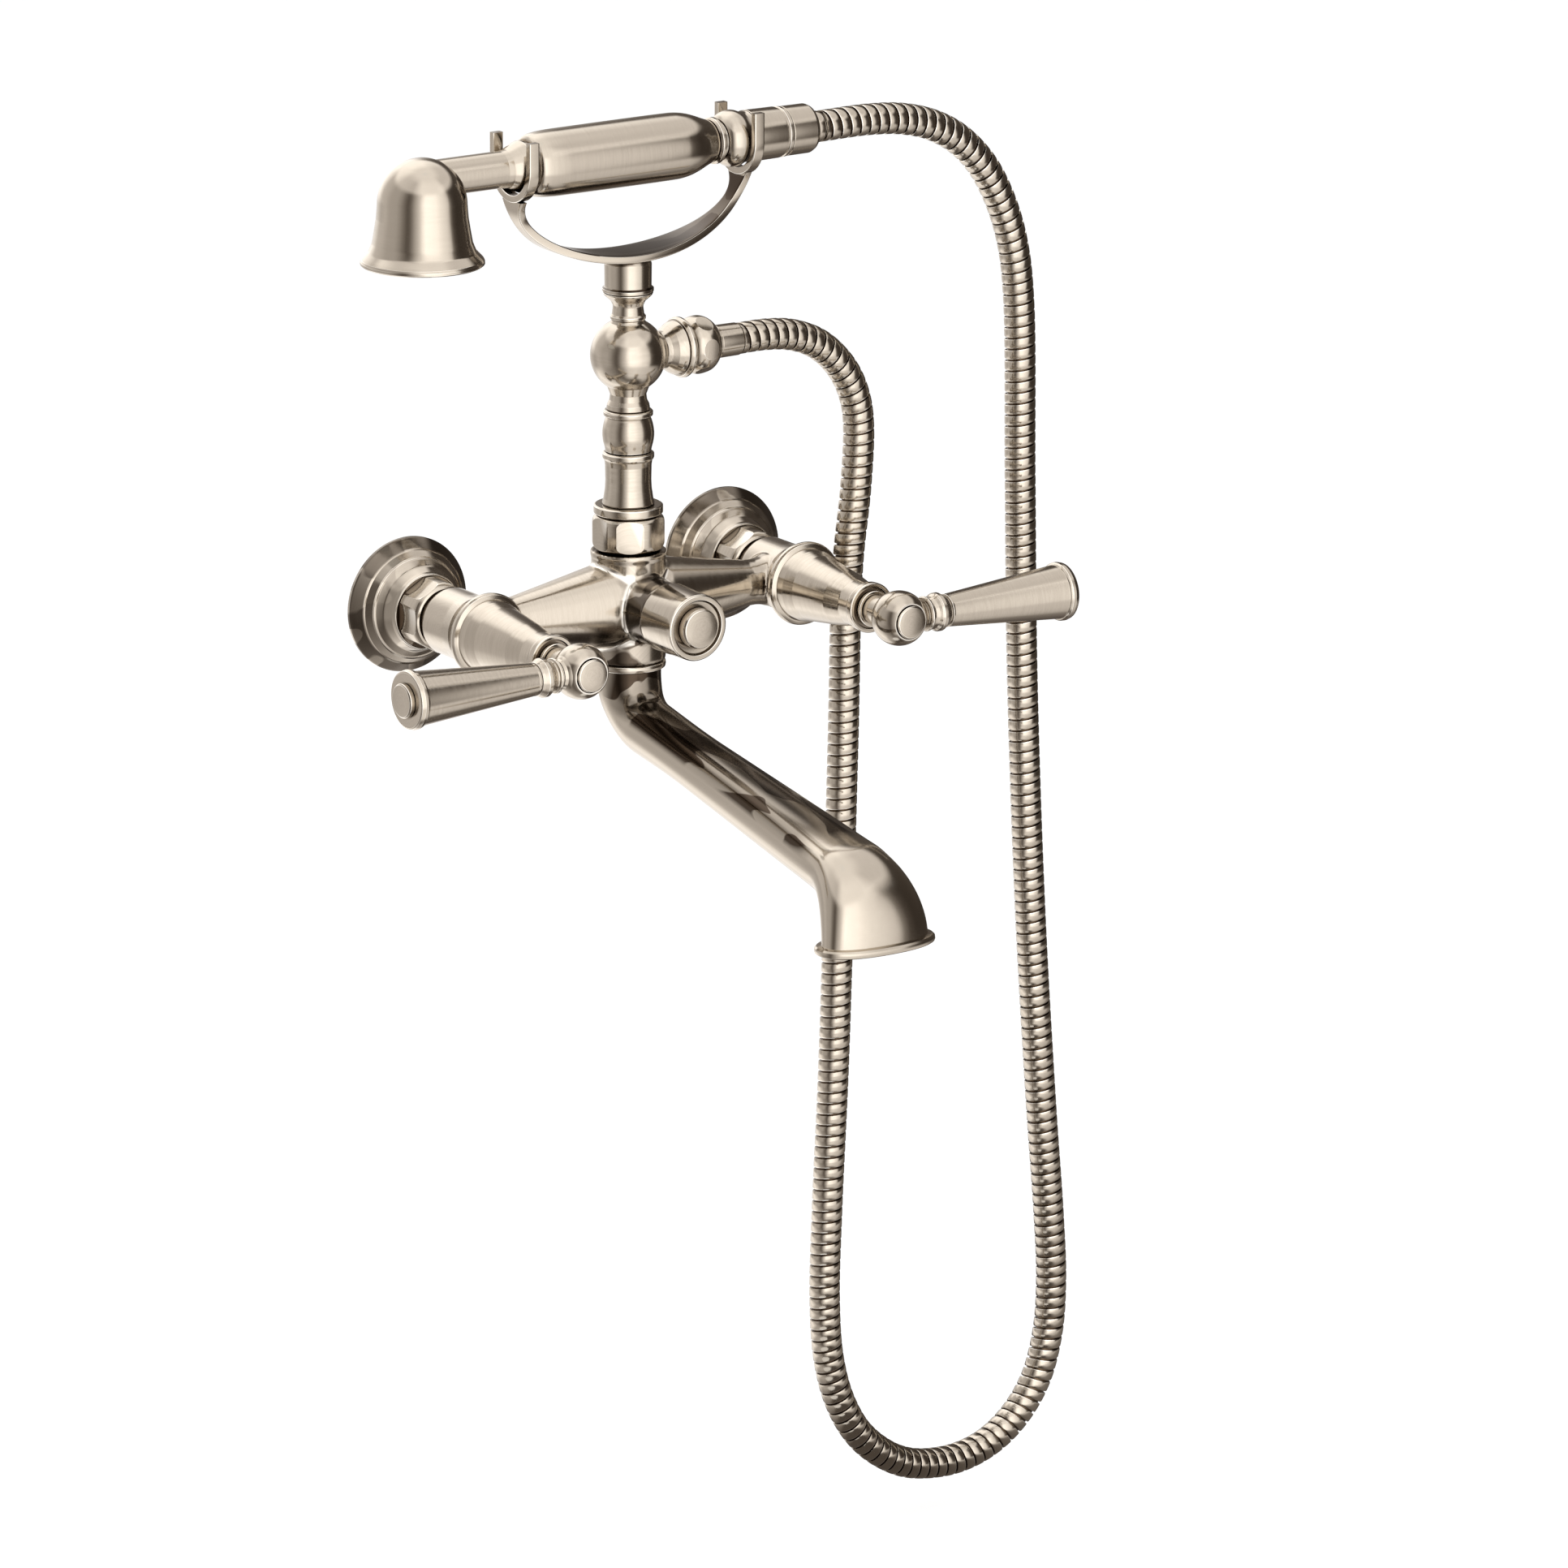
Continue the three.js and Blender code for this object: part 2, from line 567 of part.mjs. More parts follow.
// Stations along the spout: [forward, height, heading], heading 0 level, 90 down.
function spoutLine() {
  const line = [];
  const bendSteps = 6;
  const bendTop = spoutTop - neckDrop;
  line.push([0, spoutTop, plumb]);
  for (let i = 0; i <= bendSteps; i += 1) {
    const angle = neckTurn * i / bendSteps;
    line.push([neckBend * (1 - Math.cos(angle)), bendTop - neckBend * Math.sin(angle), plumb - angle]);
  }
  const [runY, runZ] = line[line.length - 1];
  const runSteps = 5;
  for (let i = 1; i <= runSteps; i += 1) {
    const along = spoutRun * i / runSteps;
    line.push([runY + along * Math.cos(fall), runZ - along * Math.sin(fall), fall]);
  }
  const [bendY, bendZ] = line[line.length - 1];
  for (let i = 1; i <= bendSteps; i += 1) {
    const heading = fall + neckTurn * i / bendSteps;
    line.push([bendY + mouthBend * (Math.sin(heading) - Math.sin(fall)),
      bendZ - mouthBend * (Math.cos(fall) - Math.cos(heading)), heading]);
  }
  const [mouthY, mouthZ] = line[line.length - 1];
  line.push([mouthY, mouthZ - mouthDrop, plumb]);
  return line;
}
const line = spoutLine();
const [mouthReach, mouthBottom] = line[line.length - 1];

// Half width, half depth and squareness of the spout at each of its stations.
// The mouth swells towards the inside of its bend, by twice the belly.
const neckSizes = [1, 1, 0.99, 0.95, 0.9, 0.87, 0.85, 0.84].map((share) => [share, share, 2]);
const runSizes = [
  [13.5, 11.8, 2.5], [14.2, 12, 2.6], [15.4, 12.4, 2.6], [17.2, 12.5, 2.5], [19.4, 12.4, 2.4]];
const mouthShares = [0.73, 0.81, 0.88, 0.93, 0.97, 1];
const mouthBelly = 1.6;
const spoutSizes = [
  ...neckSizes.map(([wide, deep, square]) => [
    wide * spoutNeckRadius, deep * spoutNeckRadius, square, 0]),
  ...runSizes.map((sizes) => [...sizes, 0]),
  ...mouthShares.map((share, i) => {
    const belly = mouthBelly * Math.sin(Math.PI * i / (mouthShares.length - 1));
    return [share * mouthHalfWidth, mouthHalfDepth + belly, mouthSquareness, belly];
  }),
  [mouthHalfWidth, mouthHalfDepth, mouthSquareness, 0]];

function spoutSolid(inset) {
  const sections = line.map(([forward, height, heading], i) => {
    const [wide, deep, square, belly] = spoutSizes[i];
    const outside = new THREE.Vector3(0, -Math.sin(heading), Math.cos(heading));
    return {
      at: new THREE.Vector3(0, -forward, height).addScaledVector(outside, -belly),
      wide: new THREE.Vector3(wide - inset, 0, 0),
      deep: outside.multiplyScalar(deep - inset),
      square,
    };
  });
  if (inset === 0) return swept(sections);
  const end = sections[sections.length - 1];
  sections[0].at.z -= neckShoulder;
  const waterway = sections.filter((section, i) => section === end || i % 2 === 0);
  waterway.push({ ...end, at: end.at.clone().setZ(mouthBottom - 1) });
  return swept(waterway);
}

function mouthRing(wider, from, to) {
  const scale = (offset) => ({
    wide: new THREE.Vector3(mouthHalfWidth + offset, 0, 0),
    deep: new THREE.Vector3(0, -mouthHalfDepth - offset, 0),
    square: mouthSquareness,
  });
  return swept([
    { at: new THREE.Vector3(0, -mouthReach, to), ...scale(wider - 1.2) },
    { at: new THREE.Vector3(0, -mouthReach, to - 1), ...scale(wider) },
    { at: new THREE.Vector3(0, -mouthReach, from + 0.8), ...scale(wider) },
    { at: new THREE.Vector3(0, -mouthReach, from), ...scale(wider - 0.8) }]);
}

const swivel = new THREE.Group();
centre.add(swivel);
const sealGroove = hubBottom + 4;
const grooveRadius = spigotRadius - 1.6;
const grooveHeight = 2.4;
const spigotTopZ = spoutTop + spigotHeight;
piece("spout", cut(
  join(spoutSolid(0), up(rod(spoutTop - 2, spigotTopZ, spigotRadius)),
    mouthRing(mouthLip, mouthBottom, mouthBottom + mouthLipHeight)),
  spoutSolid(spoutWall), up(rod(spoutTop - 4, spigotTopZ + 1, waterwayRadius)),
  up(ring(sealGroove, sealGroove + grooveHeight, grooveRadius, spigotRadius + 1))), nickel, swivel);
piece("spout_o_ring", up(ring(sealGroove + gap, sealGroove + grooveHeight - gap, grooveRadius + gap,
  spigotRadius - 0.1)), rubber, swivel);
piece("spout_collar", up(turned([
  [spoutTop + gap, spigotRadius + swivelPlay], [spoutTop + gap, spoutCollarRadius - 0.8],
  [spoutTop + gap + 0.9, spoutCollarRadius], [hubBottom - gap - 0.9, spoutCollarRadius],
  [hubBottom - gap, spoutCollarRadius - 0.8],
  [hubBottom - gap, spigotRadius + swivelPlay]])), nickel, centre);
const plateTop = mouthBottom + mouthDrop - 0.4;
piece("flow_plate", mouthRing(-spoutWall - gap, plateTop - flowPlateThickness, plateTop), steel, swivel);

// -------------------------------------------------------------------- the riser
const nutBottom = hubTop + gap;
const nutTop = nutBottom + riserNutHeight;
const spigotTop = hubTop + riserSpigotHeight;
const riserWasher = 1;
const tailBottom = spigotTop + 2 * gap + riserWasher;
const tailTop = tailBottom + tailFlange;
const riserTail = riserWaistRadius - 0.2;
const riserBore = waterwayRadius + 0.5;
const collarTop = nutTop + gap + riserCollarHeight;
piece("riser_nut", up(hexNut(nutBottom, nutTop, riserNutFlats, turned([
  [nutBottom - 1, 0], [nutBottom - 1, unionRadius + gap], [tailTop + gap, unionRadius + gap],
  [tailTop + gap, riserTail + gap], [nutTop + 1, riserTail + gap], [nutTop + 1, 0]]))), nickel, centre);
piece("riser_washer", up(ring(spigotTop + gap, spigotTop + gap + riserWasher, riserBore + 0.6,
  unionRadius - 0.3)), rubber, centre);
piece("riser_collar", up(turned([
  [nutTop + gap, riserTail + gap], [nutTop + gap, riserCollarRadius - 0.6],
  [nutTop + gap + 0.8, riserCollarRadius], [collarTop - 0.8, riserCollarRadius],
  [collarTop, riserCollarRadius - 0.7], [collarTop, riserTail + gap]])), nickel, centre);
const waistZ = (collarTop + riserLowerTop) / 2 - 1;
piece("riser_column", up(turned([
  [tailBottom, riserBore], [tailBottom, unionRadius], [tailTop, unionRadius], [tailTop, riserTail],
  [collarTop + gap, riserTail], [collarTop + gap, riserFootRadius],
  [collarTop + 3, riserFootRadius - 0.6], [waistZ - 4, riserWaistRadius + 0.2],
  [waistZ, riserWaistRadius], [riserLowerTop - 6, riserWaistRadius + 0.2],
  [riserLowerTop - 3.2, riserWaistRadius + 0.6], [riserLowerTop - 2.6, riserRingRadius],
  [riserLowerTop - 0.8, riserRingRadius], [riserLowerTop, riserWaistRadius],
  [riserLowerTop, riserBore]])), nickel, centre);
const balusterBottom = riserLowerTop + gap;
const tenonLength = 10;
const balusterBore = 4.8;
piece("riser_baluster", up(turned([
  [balusterBottom - tenonLength, balusterBore], [balusterBottom - tenonLength, tenonRadius],
  [balusterBottom, tenonRadius], [balusterBottom, balusterRadius - 1.4],
  ...[0.15, 0.32, 0.5, 0.68, 0.85].map((share) => [
    balusterBottom + share * (balusterTop - 3.4 - balusterBottom),
    balusterRadius - 1.7 + 1.7 * Math.sin(Math.PI * share)]),
  [balusterTop - 3.4, balusterRadius - 1.9], [balusterTop - 2.6, balusterRingRadius],
  [balusterTop - 0.8, balusterRingRadius], [balusterTop, balusterRingRadius - 1],
  [balusterTop, balusterBore]])), nickel, centre);

// The ball tee: ball, lower and upper necks, and the outlet towards the hose.
const teeBottom = balusterTop + gap;
const cradleStudRadius = 3;
const outletEnd = outletReach + outletThread;
const checkValveStart = outletReach - 2 - checkValveLength + gap;
const cradleStudFrom = teeTop - cradleStudSink;
const cradleStudTo = teeTop + cradleStudReach;
function ballTee() {
  const profile = [[teeBottom, 0], [teeBottom, ballNeckRadius + 1.6],
    [teeBottom + 2.4, ballNeckRadius + 1.2], [teeBottom + 4.6, ballNeckRadius]];
  const lowerAngle = Math.PI - Math.asin((ballNeckRadius + 0.2) / ballRadius);
  const upperNeck = 7.2;
  const upperAngle = Math.asin(upperNeck / ballRadius);
  for (let i = 0; i <= 9; i += 1) {
    const angle = lowerAngle + (upperAngle - lowerAngle) * i / 9;
    profile.push([ballHeight + ballRadius * Math.cos(angle), ballRadius * Math.sin(angle)]);
  }
  profile.push([ballHeight + ballRadius - 0.4, upperNeck + 1.2],
    [ballHeight + ballRadius + 1.6, upperNeck + 0.8], [ballHeight + ballRadius + 6, upperNeck],
    [teeTop - 4.4, upperNeck + 1.4], [teeTop - 1, teeCupRadius - 0.6],
    [teeTop, teeCupRadius], [teeTop, 0]);
  const outlet = right(turned([
    [0, 0], [0, 8.6], [ballRadius + 2, 8.6], [ballRadius + 7, 9.6], [outletReach - 5, outletRadius - 1.6],
    [outletReach - 3, outletRadius], [outletReach, outletRadius], [outletReach, outletThreadRadius],
    [outletReach + outletThread, outletThreadRadius], [outletReach + outletThread, 0]]));
  const waterway = right(rod(0, outletEnd + 1, checkValveRadius - 1.2, fewFacets));
  const valveSeat = right(rod(checkValveStart - gap, outletEnd + 1, checkValveRadius + gap, fewFacets));
  for (const shape of [outlet, waterway, valveSeat]) shape.translate(0, 0, ballHeight);
  return cut(join(up(turned(profile)), outlet), waterway, valveSeat,
    up(rod(teeBottom - 1, ballHeight, balusterBore, fewFacets)),
    up(rod(cradleStudFrom - gap, teeTop + 1, cradleStudRadius + gap, fewFacets)));
}
piece("ball_tee", ballTee(), nickel, centre);
const checkValve = right(
  ring(checkValveStart, outletReach - 2, checkValveRadius - 3, checkValveRadius, fewFacets));
piece("check_valve", checkValve.translate(0, 0, ballHeight), nylon, centre);

// ------------------------------------------------------------------- the cradle
function strap() {
  const steps = 18;
  const flareReach = 0.45;          // share of the cradle's depth that the flare takes
  const sections = [];
  for (let i = 0; i <= steps; i += 1) {
    const angle = Math.PI * i / steps;
    const depth = Math.sin(angle);
    const flare = Math.max(0, 1 - depth / flareReach) ** 2;
    const width = strapWidth + (strapFootWidth - strapWidth) * depth ** 3 + forkFlare * flare;
    const across = Math.cos(angle);
    const radial = new THREE.Vector3(-across / cradleHalfWidth, 0, -depth / cradleDepth).normalize();
    const at = new THREE.Vector3(-cradleHalfWidth * across, 0, cradleLevel - cradleDepth * depth)
      .addScaledVector(radial, strapThickness / 2);
    sections.push({ at, square: 4, deep: radial.multiplyScalar(strapThickness / 2),
      wide: new THREE.Vector3(0, width / 2, 0) });
  }
  return swept(sections, strapSides);
}

// A U-shaped fork in the plane across the shower, its bottom at the given level.
function fork(offset, heldRadius) {
  const seat = showerHeight - heldRadius - gap;
  const level = seat + forkInner;
  const outer = forkInner + forkThickness;
  const outline = new THREE.Shape();
  outline.moveTo(outer, forkTop - 1);
  outline.lineTo(outer, level);
  outline.absarc(0, level, outer, 0, -Math.PI, true);
  outline.lineTo(-outer, forkTop - 1);
  outline.lineTo(-outer + 1, forkTop);
  outline.lineTo(-forkInner - 0.6, forkTop);
  outline.lineTo(-forkInner, forkTop - 0.8);
  outline.lineTo(-forkInner, level);
  outline.absarc(0, level, forkInner, Math.PI, 2 * Math.PI, false);
  outline.lineTo(forkInner, forkTop - 0.8);
  outline.lineTo(forkInner + 0.6, forkTop);
  outline.lineTo(outer - 1, forkTop);
  outline.closePath();
  const plate = new THREE.ExtrudeGeometry(outline, {
    depth: forkWidth, bevelEnabled: false, curveSegments: 8,
  });
  return plate.rotateX(Math.PI / 2).rotateZ(Math.PI / 2).translate(offset - forkWidth / 2, 0, 0);
}

const post = turned([
  [postBottom, 0], [postBottom, postRingRadius - 0.4], [postBottom + 0.8, postRingRadius],
  [postBottom + 2, postRingRadius - 0.2], [postBottom + 2.4, postRadius],
  [strapBottom - 2, postRadius],
  [cradleLevel - cradleDepth - 2, postRadius - 1.6],
  [cradleLevel - cradleDepth - 2, 0]]);
piece("cradle", cut(
  join(strap(), fork(-forkOffset, collarRadius), fork(forkOffset, beadRadius), up(post)),
  up(rod(postBottom - 1, cradleStudTo + gap, cradleStudRadius + gap, fewFacets))), nickel, centre);
piece("cradle_stud", up(rod(cradleStudFrom, cradleStudTo, cradleStudRadius, fewFacets)), steel, centre);

// -------------------------------------------------------------- the hand shower
const shower = new THREE.Group();
shower.position.z = showerHeight;
centre.add(shower);
const bellInner = bellRadius - bellWall;
const bellShape = (inset) => {
  const crown = bellCrown - inset;
  const radius = bellRadius - inset;
  const waist = bellCrown - bellRadius;
  const dome = [];
  for (let i = 0; i <= 5; i += 1) {
    const angle = Math.PI / 2 * i / 5;
    dome.push([waist + (crown - waist) * Math.cos(angle), radius * 0.965 * Math.sin(angle)]);
  }
  const rim = -bellDrop;
  return [...dome, [waist - 12, radius + 0.6], [rim + 9, radius + 2.2], [rim + 5, radius + 4.2],
    [rim + 3, bellRimRadius - inset - 0.6], [rim + (inset > 0 ? 3 : 1.6), bellRimRadius - inset]];
};
const rim = -bellDrop;
const bellSolid = up(turned([...bellShape(0), [rim, bellRimRadius - 0.8], [rim, 0]]));
const sprayHole = bellRimRadius - bellWall - 1.6;
const bellCavity = up(turned([...bellShape(bellWall).slice(0, -2), [rim + 3, sprayHole],
  [rim - 1, sprayHole], [rim - 1, 0]]));
const neckFrom = bellOffset - bellInner + 5;
const neckHole = right(rod(-bellOffset, -bellOffset + bellRadius + 4, showerNeckRadius + gap));
bellSolid.translate(-bellOffset, 0, 0);
bellCavity.translate(-bellOffset, 0, 0);
piece("shower_bell", cut(bellSolid, bellCavity, neckHole), nickel, shower);
const sprayPlate = up(rod(rim + 0.4, rim + 0.4 + sprayPlateThickness, sprayHole - gap));
piece("spray_plate", sprayPlate.translate(-bellOffset, 0, 0), nylon, shower);
const coreEnd = gripEnd + ferruleLength + beadLength + connectorLength - 5;
piece("shower_neck", right(turned([
  [-neckFrom, 4.6], [-neckFrom, showerNeckRadius], [-collarEnd - 13, showerNeckRadius],
  [-collarEnd - 11, showerNeckRadius + 0.4], [-collarEnd - 5, collarRadius - 0.6],
  [-collarEnd - 2.6, collarRadius], [-collarEnd - 0.8, collarRadius - 0.8],
  [-collarEnd, collarRadius - 2.4], [-collarEnd, coreRadius],
  [coreEnd, coreRadius], [coreEnd, 4.6]])), nickel, shower);
const sleeveBore = coreRadius + gap;
const gripStart = -collarEnd + gap;
piece("shower_grip", right(turned([
  [gripStart, sleeveBore], [gripStart, gripRadius - 3.4], [gripStart + 3, gripRadius - 1.9],
  [gripStart + gripShoulder / 2, gripRadius - 0.6], [gripStart + gripShoulder, gripRadius],
  [gripEnd - gripShoulder - 2, gripRadius], [gripEnd - gripShoulder + 4, gripRadius - 1],
  [gripEnd - 8, gripRadius - 2.6], [gripEnd - 3, gripRadius - 4.4],
  [gripEnd, gripRadius - 5.2], [gripEnd, sleeveBore]])), nickel, shower);
const ferruleStart = gripEnd + gap;
const beadStart = ferruleStart + ferruleLength + gap;
const connectorStart = beadStart + beadLength + gap;
const connectorEnd = connectorStart + connectorLength;
piece("shower_ferrule", right(turned([
  [ferruleStart, sleeveBore], [ferruleStart, ferruleRadius - 1], [ferruleStart + 1, ferruleRadius],
  [ferruleStart + 2.6, ferruleRadius], [ferruleStart + 3.4, ferruleRadius - 1.8],
  [ferruleStart + ferruleLength, ferruleRadius - 1.8],
  [ferruleStart + ferruleLength, sleeveBore]])), nickel, shower);
piece("shower_bead", right(turned([
  [beadStart, sleeveBore], [beadStart, ferruleRadius - 1],
  ...[0.1, 0.3, 0.5, 0.7, 0.85].map((share) => [beadStart + share * (beadLength - 3),
    ferruleRadius - 1.6 + (beadRadius - ferruleRadius + 1.6) * Math.sin(Math.PI * (0.1 + 0.85 * share))]),
  [beadStart + beadLength - 2.4, connectorRadius - 0.4], [beadStart + beadLength, connectorRadius],
  [beadStart + beadLength, sleeveBore]])), nickel, shower);
const hoseBore = 4.6;
piece("shower_connector", right(turned([
  [connectorStart, sleeveBore], [connectorStart, connectorRadius],
  [connectorEnd - 3.6, connectorRadius - 0.4],
  [connectorEnd - 3, connectorRadius - 1], [connectorEnd - 2.4, connectorRadius - 0.4],
  [connectorEnd, connectorRadius - 0.5], [connectorEnd, connectorThreadRadius],
  [connectorEnd + connectorThread, connectorThreadRadius], [connectorEnd + connectorThread, hoseBore],
  [coreEnd + gap, hoseBore], [coreEnd + gap, sleeveBore]])), nickel, shower);
const showerNutStart = connectorEnd + gap;
const showerNutEnd = showerNutStart + showerNutLength;
const hoseWasher = 1.4;
const hoseFlange = 1.8;
const showerWasherStart = connectorEnd + connectorThread + gap;
const showerFlangeStart = showerWasherStart + hoseWasher + gap;
const nutLip = showerFlangeStart + hoseFlange + gap;
piece("hose_nut_shower", right(turned([
  [showerNutStart, connectorThreadRadius + gap], [showerNutStart, showerNutRadius],
  [showerNutStart + 10, showerNutRadius - 0.5], [showerNutStart + 13, showerNutRadius - 1.8],
  [showerNutEnd - 1.6, hoseRadius + 1.6], [showerNutEnd, hoseRadius + 0.8],
  [showerNutEnd, hoseRadius + gap],
  [nutLip, hoseRadius + gap], [nutLip, connectorThreadRadius + gap]])), nickel, shower);
piece("hose_washer_shower", right(ring(showerWasherStart, showerWasherStart + hoseWasher, hoseBore + 0.4,
  connectorThreadRadius - 0.1, fewFacets)), rubber, shower);
piece("hose_tail_shower", right(turned([
  [showerFlangeStart, hoseBore - 0.4], [showerFlangeStart, connectorThreadRadius],
  [showerFlangeStart + hoseFlange, connectorThreadRadius], [showerFlangeStart + hoseFlange, hoseRadius],
  [showerNutEnd, hoseRadius], [showerNutEnd, hoseBore - 0.4]])), brass, shower);

// ----------------------------------------------------------- the hose and its nut
const valveHose = new THREE.Group();
valveHose.position.z = ballHeight;
centre.add(valveHose);
const hoseNutStart = outletReach + gap;
const hoseNutEnd = hoseNutStart + hoseNutLength;
const valveWasherStart = outletReach + outletThread + gap;
const valveFlangeStart = valveWasherStart + hoseWasher + gap;
const valveLip = valveFlangeStart + hoseFlange + gap;
piece("hose_nut_valve", right(hexNut(hoseNutStart, hoseNutEnd, hoseNutFlats, turned([
  [hoseNutStart - 1, 0], [hoseNutStart - 1, outletThreadRadius + gap], [valveLip, outletThreadRadius + gap],
  [valveLip, hoseFerruleRadius + gap], [hoseNutEnd + 1, hoseFerruleRadius + gap],
  [hoseNutEnd + 1, 0]]), 3)),
  nickel, valveHose);
piece("hose_washer_valve", right(ring(valveWasherStart, valveWasherStart + hoseWasher, hoseBore + 0.6,
  outletThreadRadius - 0.2, fewFacets)), rubber, valveHose);
piece("hose_ferrule_valve", right(turned([
  [valveFlangeStart, hoseBore - 0.4], [valveFlangeStart, outletThreadRadius - 0.2],
  [valveFlangeStart + hoseFlange, outletThreadRadius - 0.2],
  [valveFlangeStart + hoseFlange, hoseFerruleRadius],
  [hoseEnd - gap - 0.6, hoseFerruleRadius], [hoseEnd - gap, hoseFerruleRadius - 0.6],
  [hoseEnd - gap, hoseBore - 0.4]])), nickel, valveHose);

// The hose's route, [x, z] above the valve axis, in the riser's plane.
const hoseStart = showerNutEnd + gap;
const hoseRoute = [
  [hoseStart, showerHeight], [138, showerHeight], [157, 216.8], [174, 212], [190, 203],
  [204, 189], [215, 170], [222.5, 148], [226.4, 120], [228.2, 30], [230.5, -70], [236.5, -190],
  [244.5, -295], [249.5, -350], [251.4, -385], [249.4, -412], [242.3, -435], [230, -452],
  [214.4, -462.8], [197.3, -467.8], [180, -468], [163, -464.3], [147.6, -455.6], [134, -442],
  [123.3, -423], [117, -400], [114.7, -370], [116, -322], [119.5, -250], [124.2, -90],
  [126.5, 0], [131, 38], [132.6, 68], [130.8, 81.6], [125.6, 94.3], [117.2, 105.2],
  [106.3, 113.6], [93.6, 118.8], [80, ballHeight], [hoseEnd, ballHeight]];
const hosePath = new THREE.CatmullRomCurve3(
  hoseRoute.map(([x, z]) => new THREE.Vector3(x, 0, z)), false, "centripetal");
const hoseSection = new THREE.Shape().absarc(0, 0, hoseRadius, 0, 2 * Math.PI);
piece("shower_hose", new THREE.ExtrudeGeometry(hoseSection, {
  steps: 52, curveSegments: 4, bevelEnabled: false, extrudePath: hosePath,
}), hoseMetal, centre);

export default faucet;
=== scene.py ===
"""A wall mounted bath mixer in satin nickel: two lever valves, a swivelling spout, and a hand
shower on a forked cradle with its metal hose. Stations and radii are in millimetres."""
from math import acos, asin, cos, hypot, pi, radians, sin, sqrt, tan
import bmesh
import bpy
from mathutils import Matrix, Vector
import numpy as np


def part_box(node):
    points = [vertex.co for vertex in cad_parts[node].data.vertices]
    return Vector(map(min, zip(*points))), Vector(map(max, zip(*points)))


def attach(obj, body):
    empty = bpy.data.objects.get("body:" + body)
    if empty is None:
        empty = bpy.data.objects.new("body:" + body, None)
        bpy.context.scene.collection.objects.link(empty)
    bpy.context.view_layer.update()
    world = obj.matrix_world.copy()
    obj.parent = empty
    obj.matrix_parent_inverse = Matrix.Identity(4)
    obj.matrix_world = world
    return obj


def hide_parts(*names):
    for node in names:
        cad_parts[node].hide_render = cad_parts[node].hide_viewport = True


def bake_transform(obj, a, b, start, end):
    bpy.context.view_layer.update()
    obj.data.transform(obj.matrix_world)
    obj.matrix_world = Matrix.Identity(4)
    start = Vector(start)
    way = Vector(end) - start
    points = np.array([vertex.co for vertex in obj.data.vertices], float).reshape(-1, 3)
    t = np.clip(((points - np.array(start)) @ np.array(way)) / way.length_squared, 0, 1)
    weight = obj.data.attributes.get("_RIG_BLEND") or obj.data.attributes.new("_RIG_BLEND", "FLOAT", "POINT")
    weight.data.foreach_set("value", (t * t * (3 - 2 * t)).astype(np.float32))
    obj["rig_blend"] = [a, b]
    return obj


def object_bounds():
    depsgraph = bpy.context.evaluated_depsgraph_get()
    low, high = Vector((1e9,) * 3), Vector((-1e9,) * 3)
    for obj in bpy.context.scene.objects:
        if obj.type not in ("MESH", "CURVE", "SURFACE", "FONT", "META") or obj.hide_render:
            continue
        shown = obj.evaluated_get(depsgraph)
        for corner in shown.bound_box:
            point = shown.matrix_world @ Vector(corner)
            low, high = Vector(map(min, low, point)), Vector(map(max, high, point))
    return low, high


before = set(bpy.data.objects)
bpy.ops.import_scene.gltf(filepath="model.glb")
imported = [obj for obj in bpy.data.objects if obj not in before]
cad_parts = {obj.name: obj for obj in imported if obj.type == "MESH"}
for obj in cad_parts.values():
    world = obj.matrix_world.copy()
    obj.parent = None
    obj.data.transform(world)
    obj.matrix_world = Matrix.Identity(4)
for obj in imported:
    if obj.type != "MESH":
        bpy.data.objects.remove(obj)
cad_low, cad_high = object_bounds()
mm = 0.001

# ---------------------------------------------------------------------------------- camera
# A long lens, a little above the mixer and to its left, level but for a slight roll.
camera_target = Vector((0.00973, -0.1741, -0.06443))
camera_turn = radians(-34.04)
camera_rise = radians(15.36)
camera_distance = 5.022
lens = bpy.data.cameras.new("camera")
lens.lens = 245.35
lens.sensor_width = 36
lens.clip_end = 100
camera = bpy.data.objects.new("camera", lens)
bpy.context.collection.objects.link(camera)
aim = Matrix.Rotation(camera_turn, 4, "Z") @ Matrix.Rotation(pi / 2 - camera_rise, 4, "X")
camera.matrix_world = (Matrix.Translation(camera_target) @ aim
                       @ Matrix.Translation((0, 0, camera_distance))
                       @ Matrix.Rotation(radians(0.15), 4, "Z"))
bpy.context.scene.camera = camera

# ------------------------------------------------------------------------------------ hose
# Metal hose: a strip wound and hooked into itself over a rubber core, 14 mm outside. It hangs
# from the nut behind the grip, turns at the bottom and comes back up to the ball tee.


def middle_of(node, axis):
    """The middle of a CAD node's box along one axis."""
    low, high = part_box(node)
    return (getattr(low, axis) + getattr(high, axis)) / 2


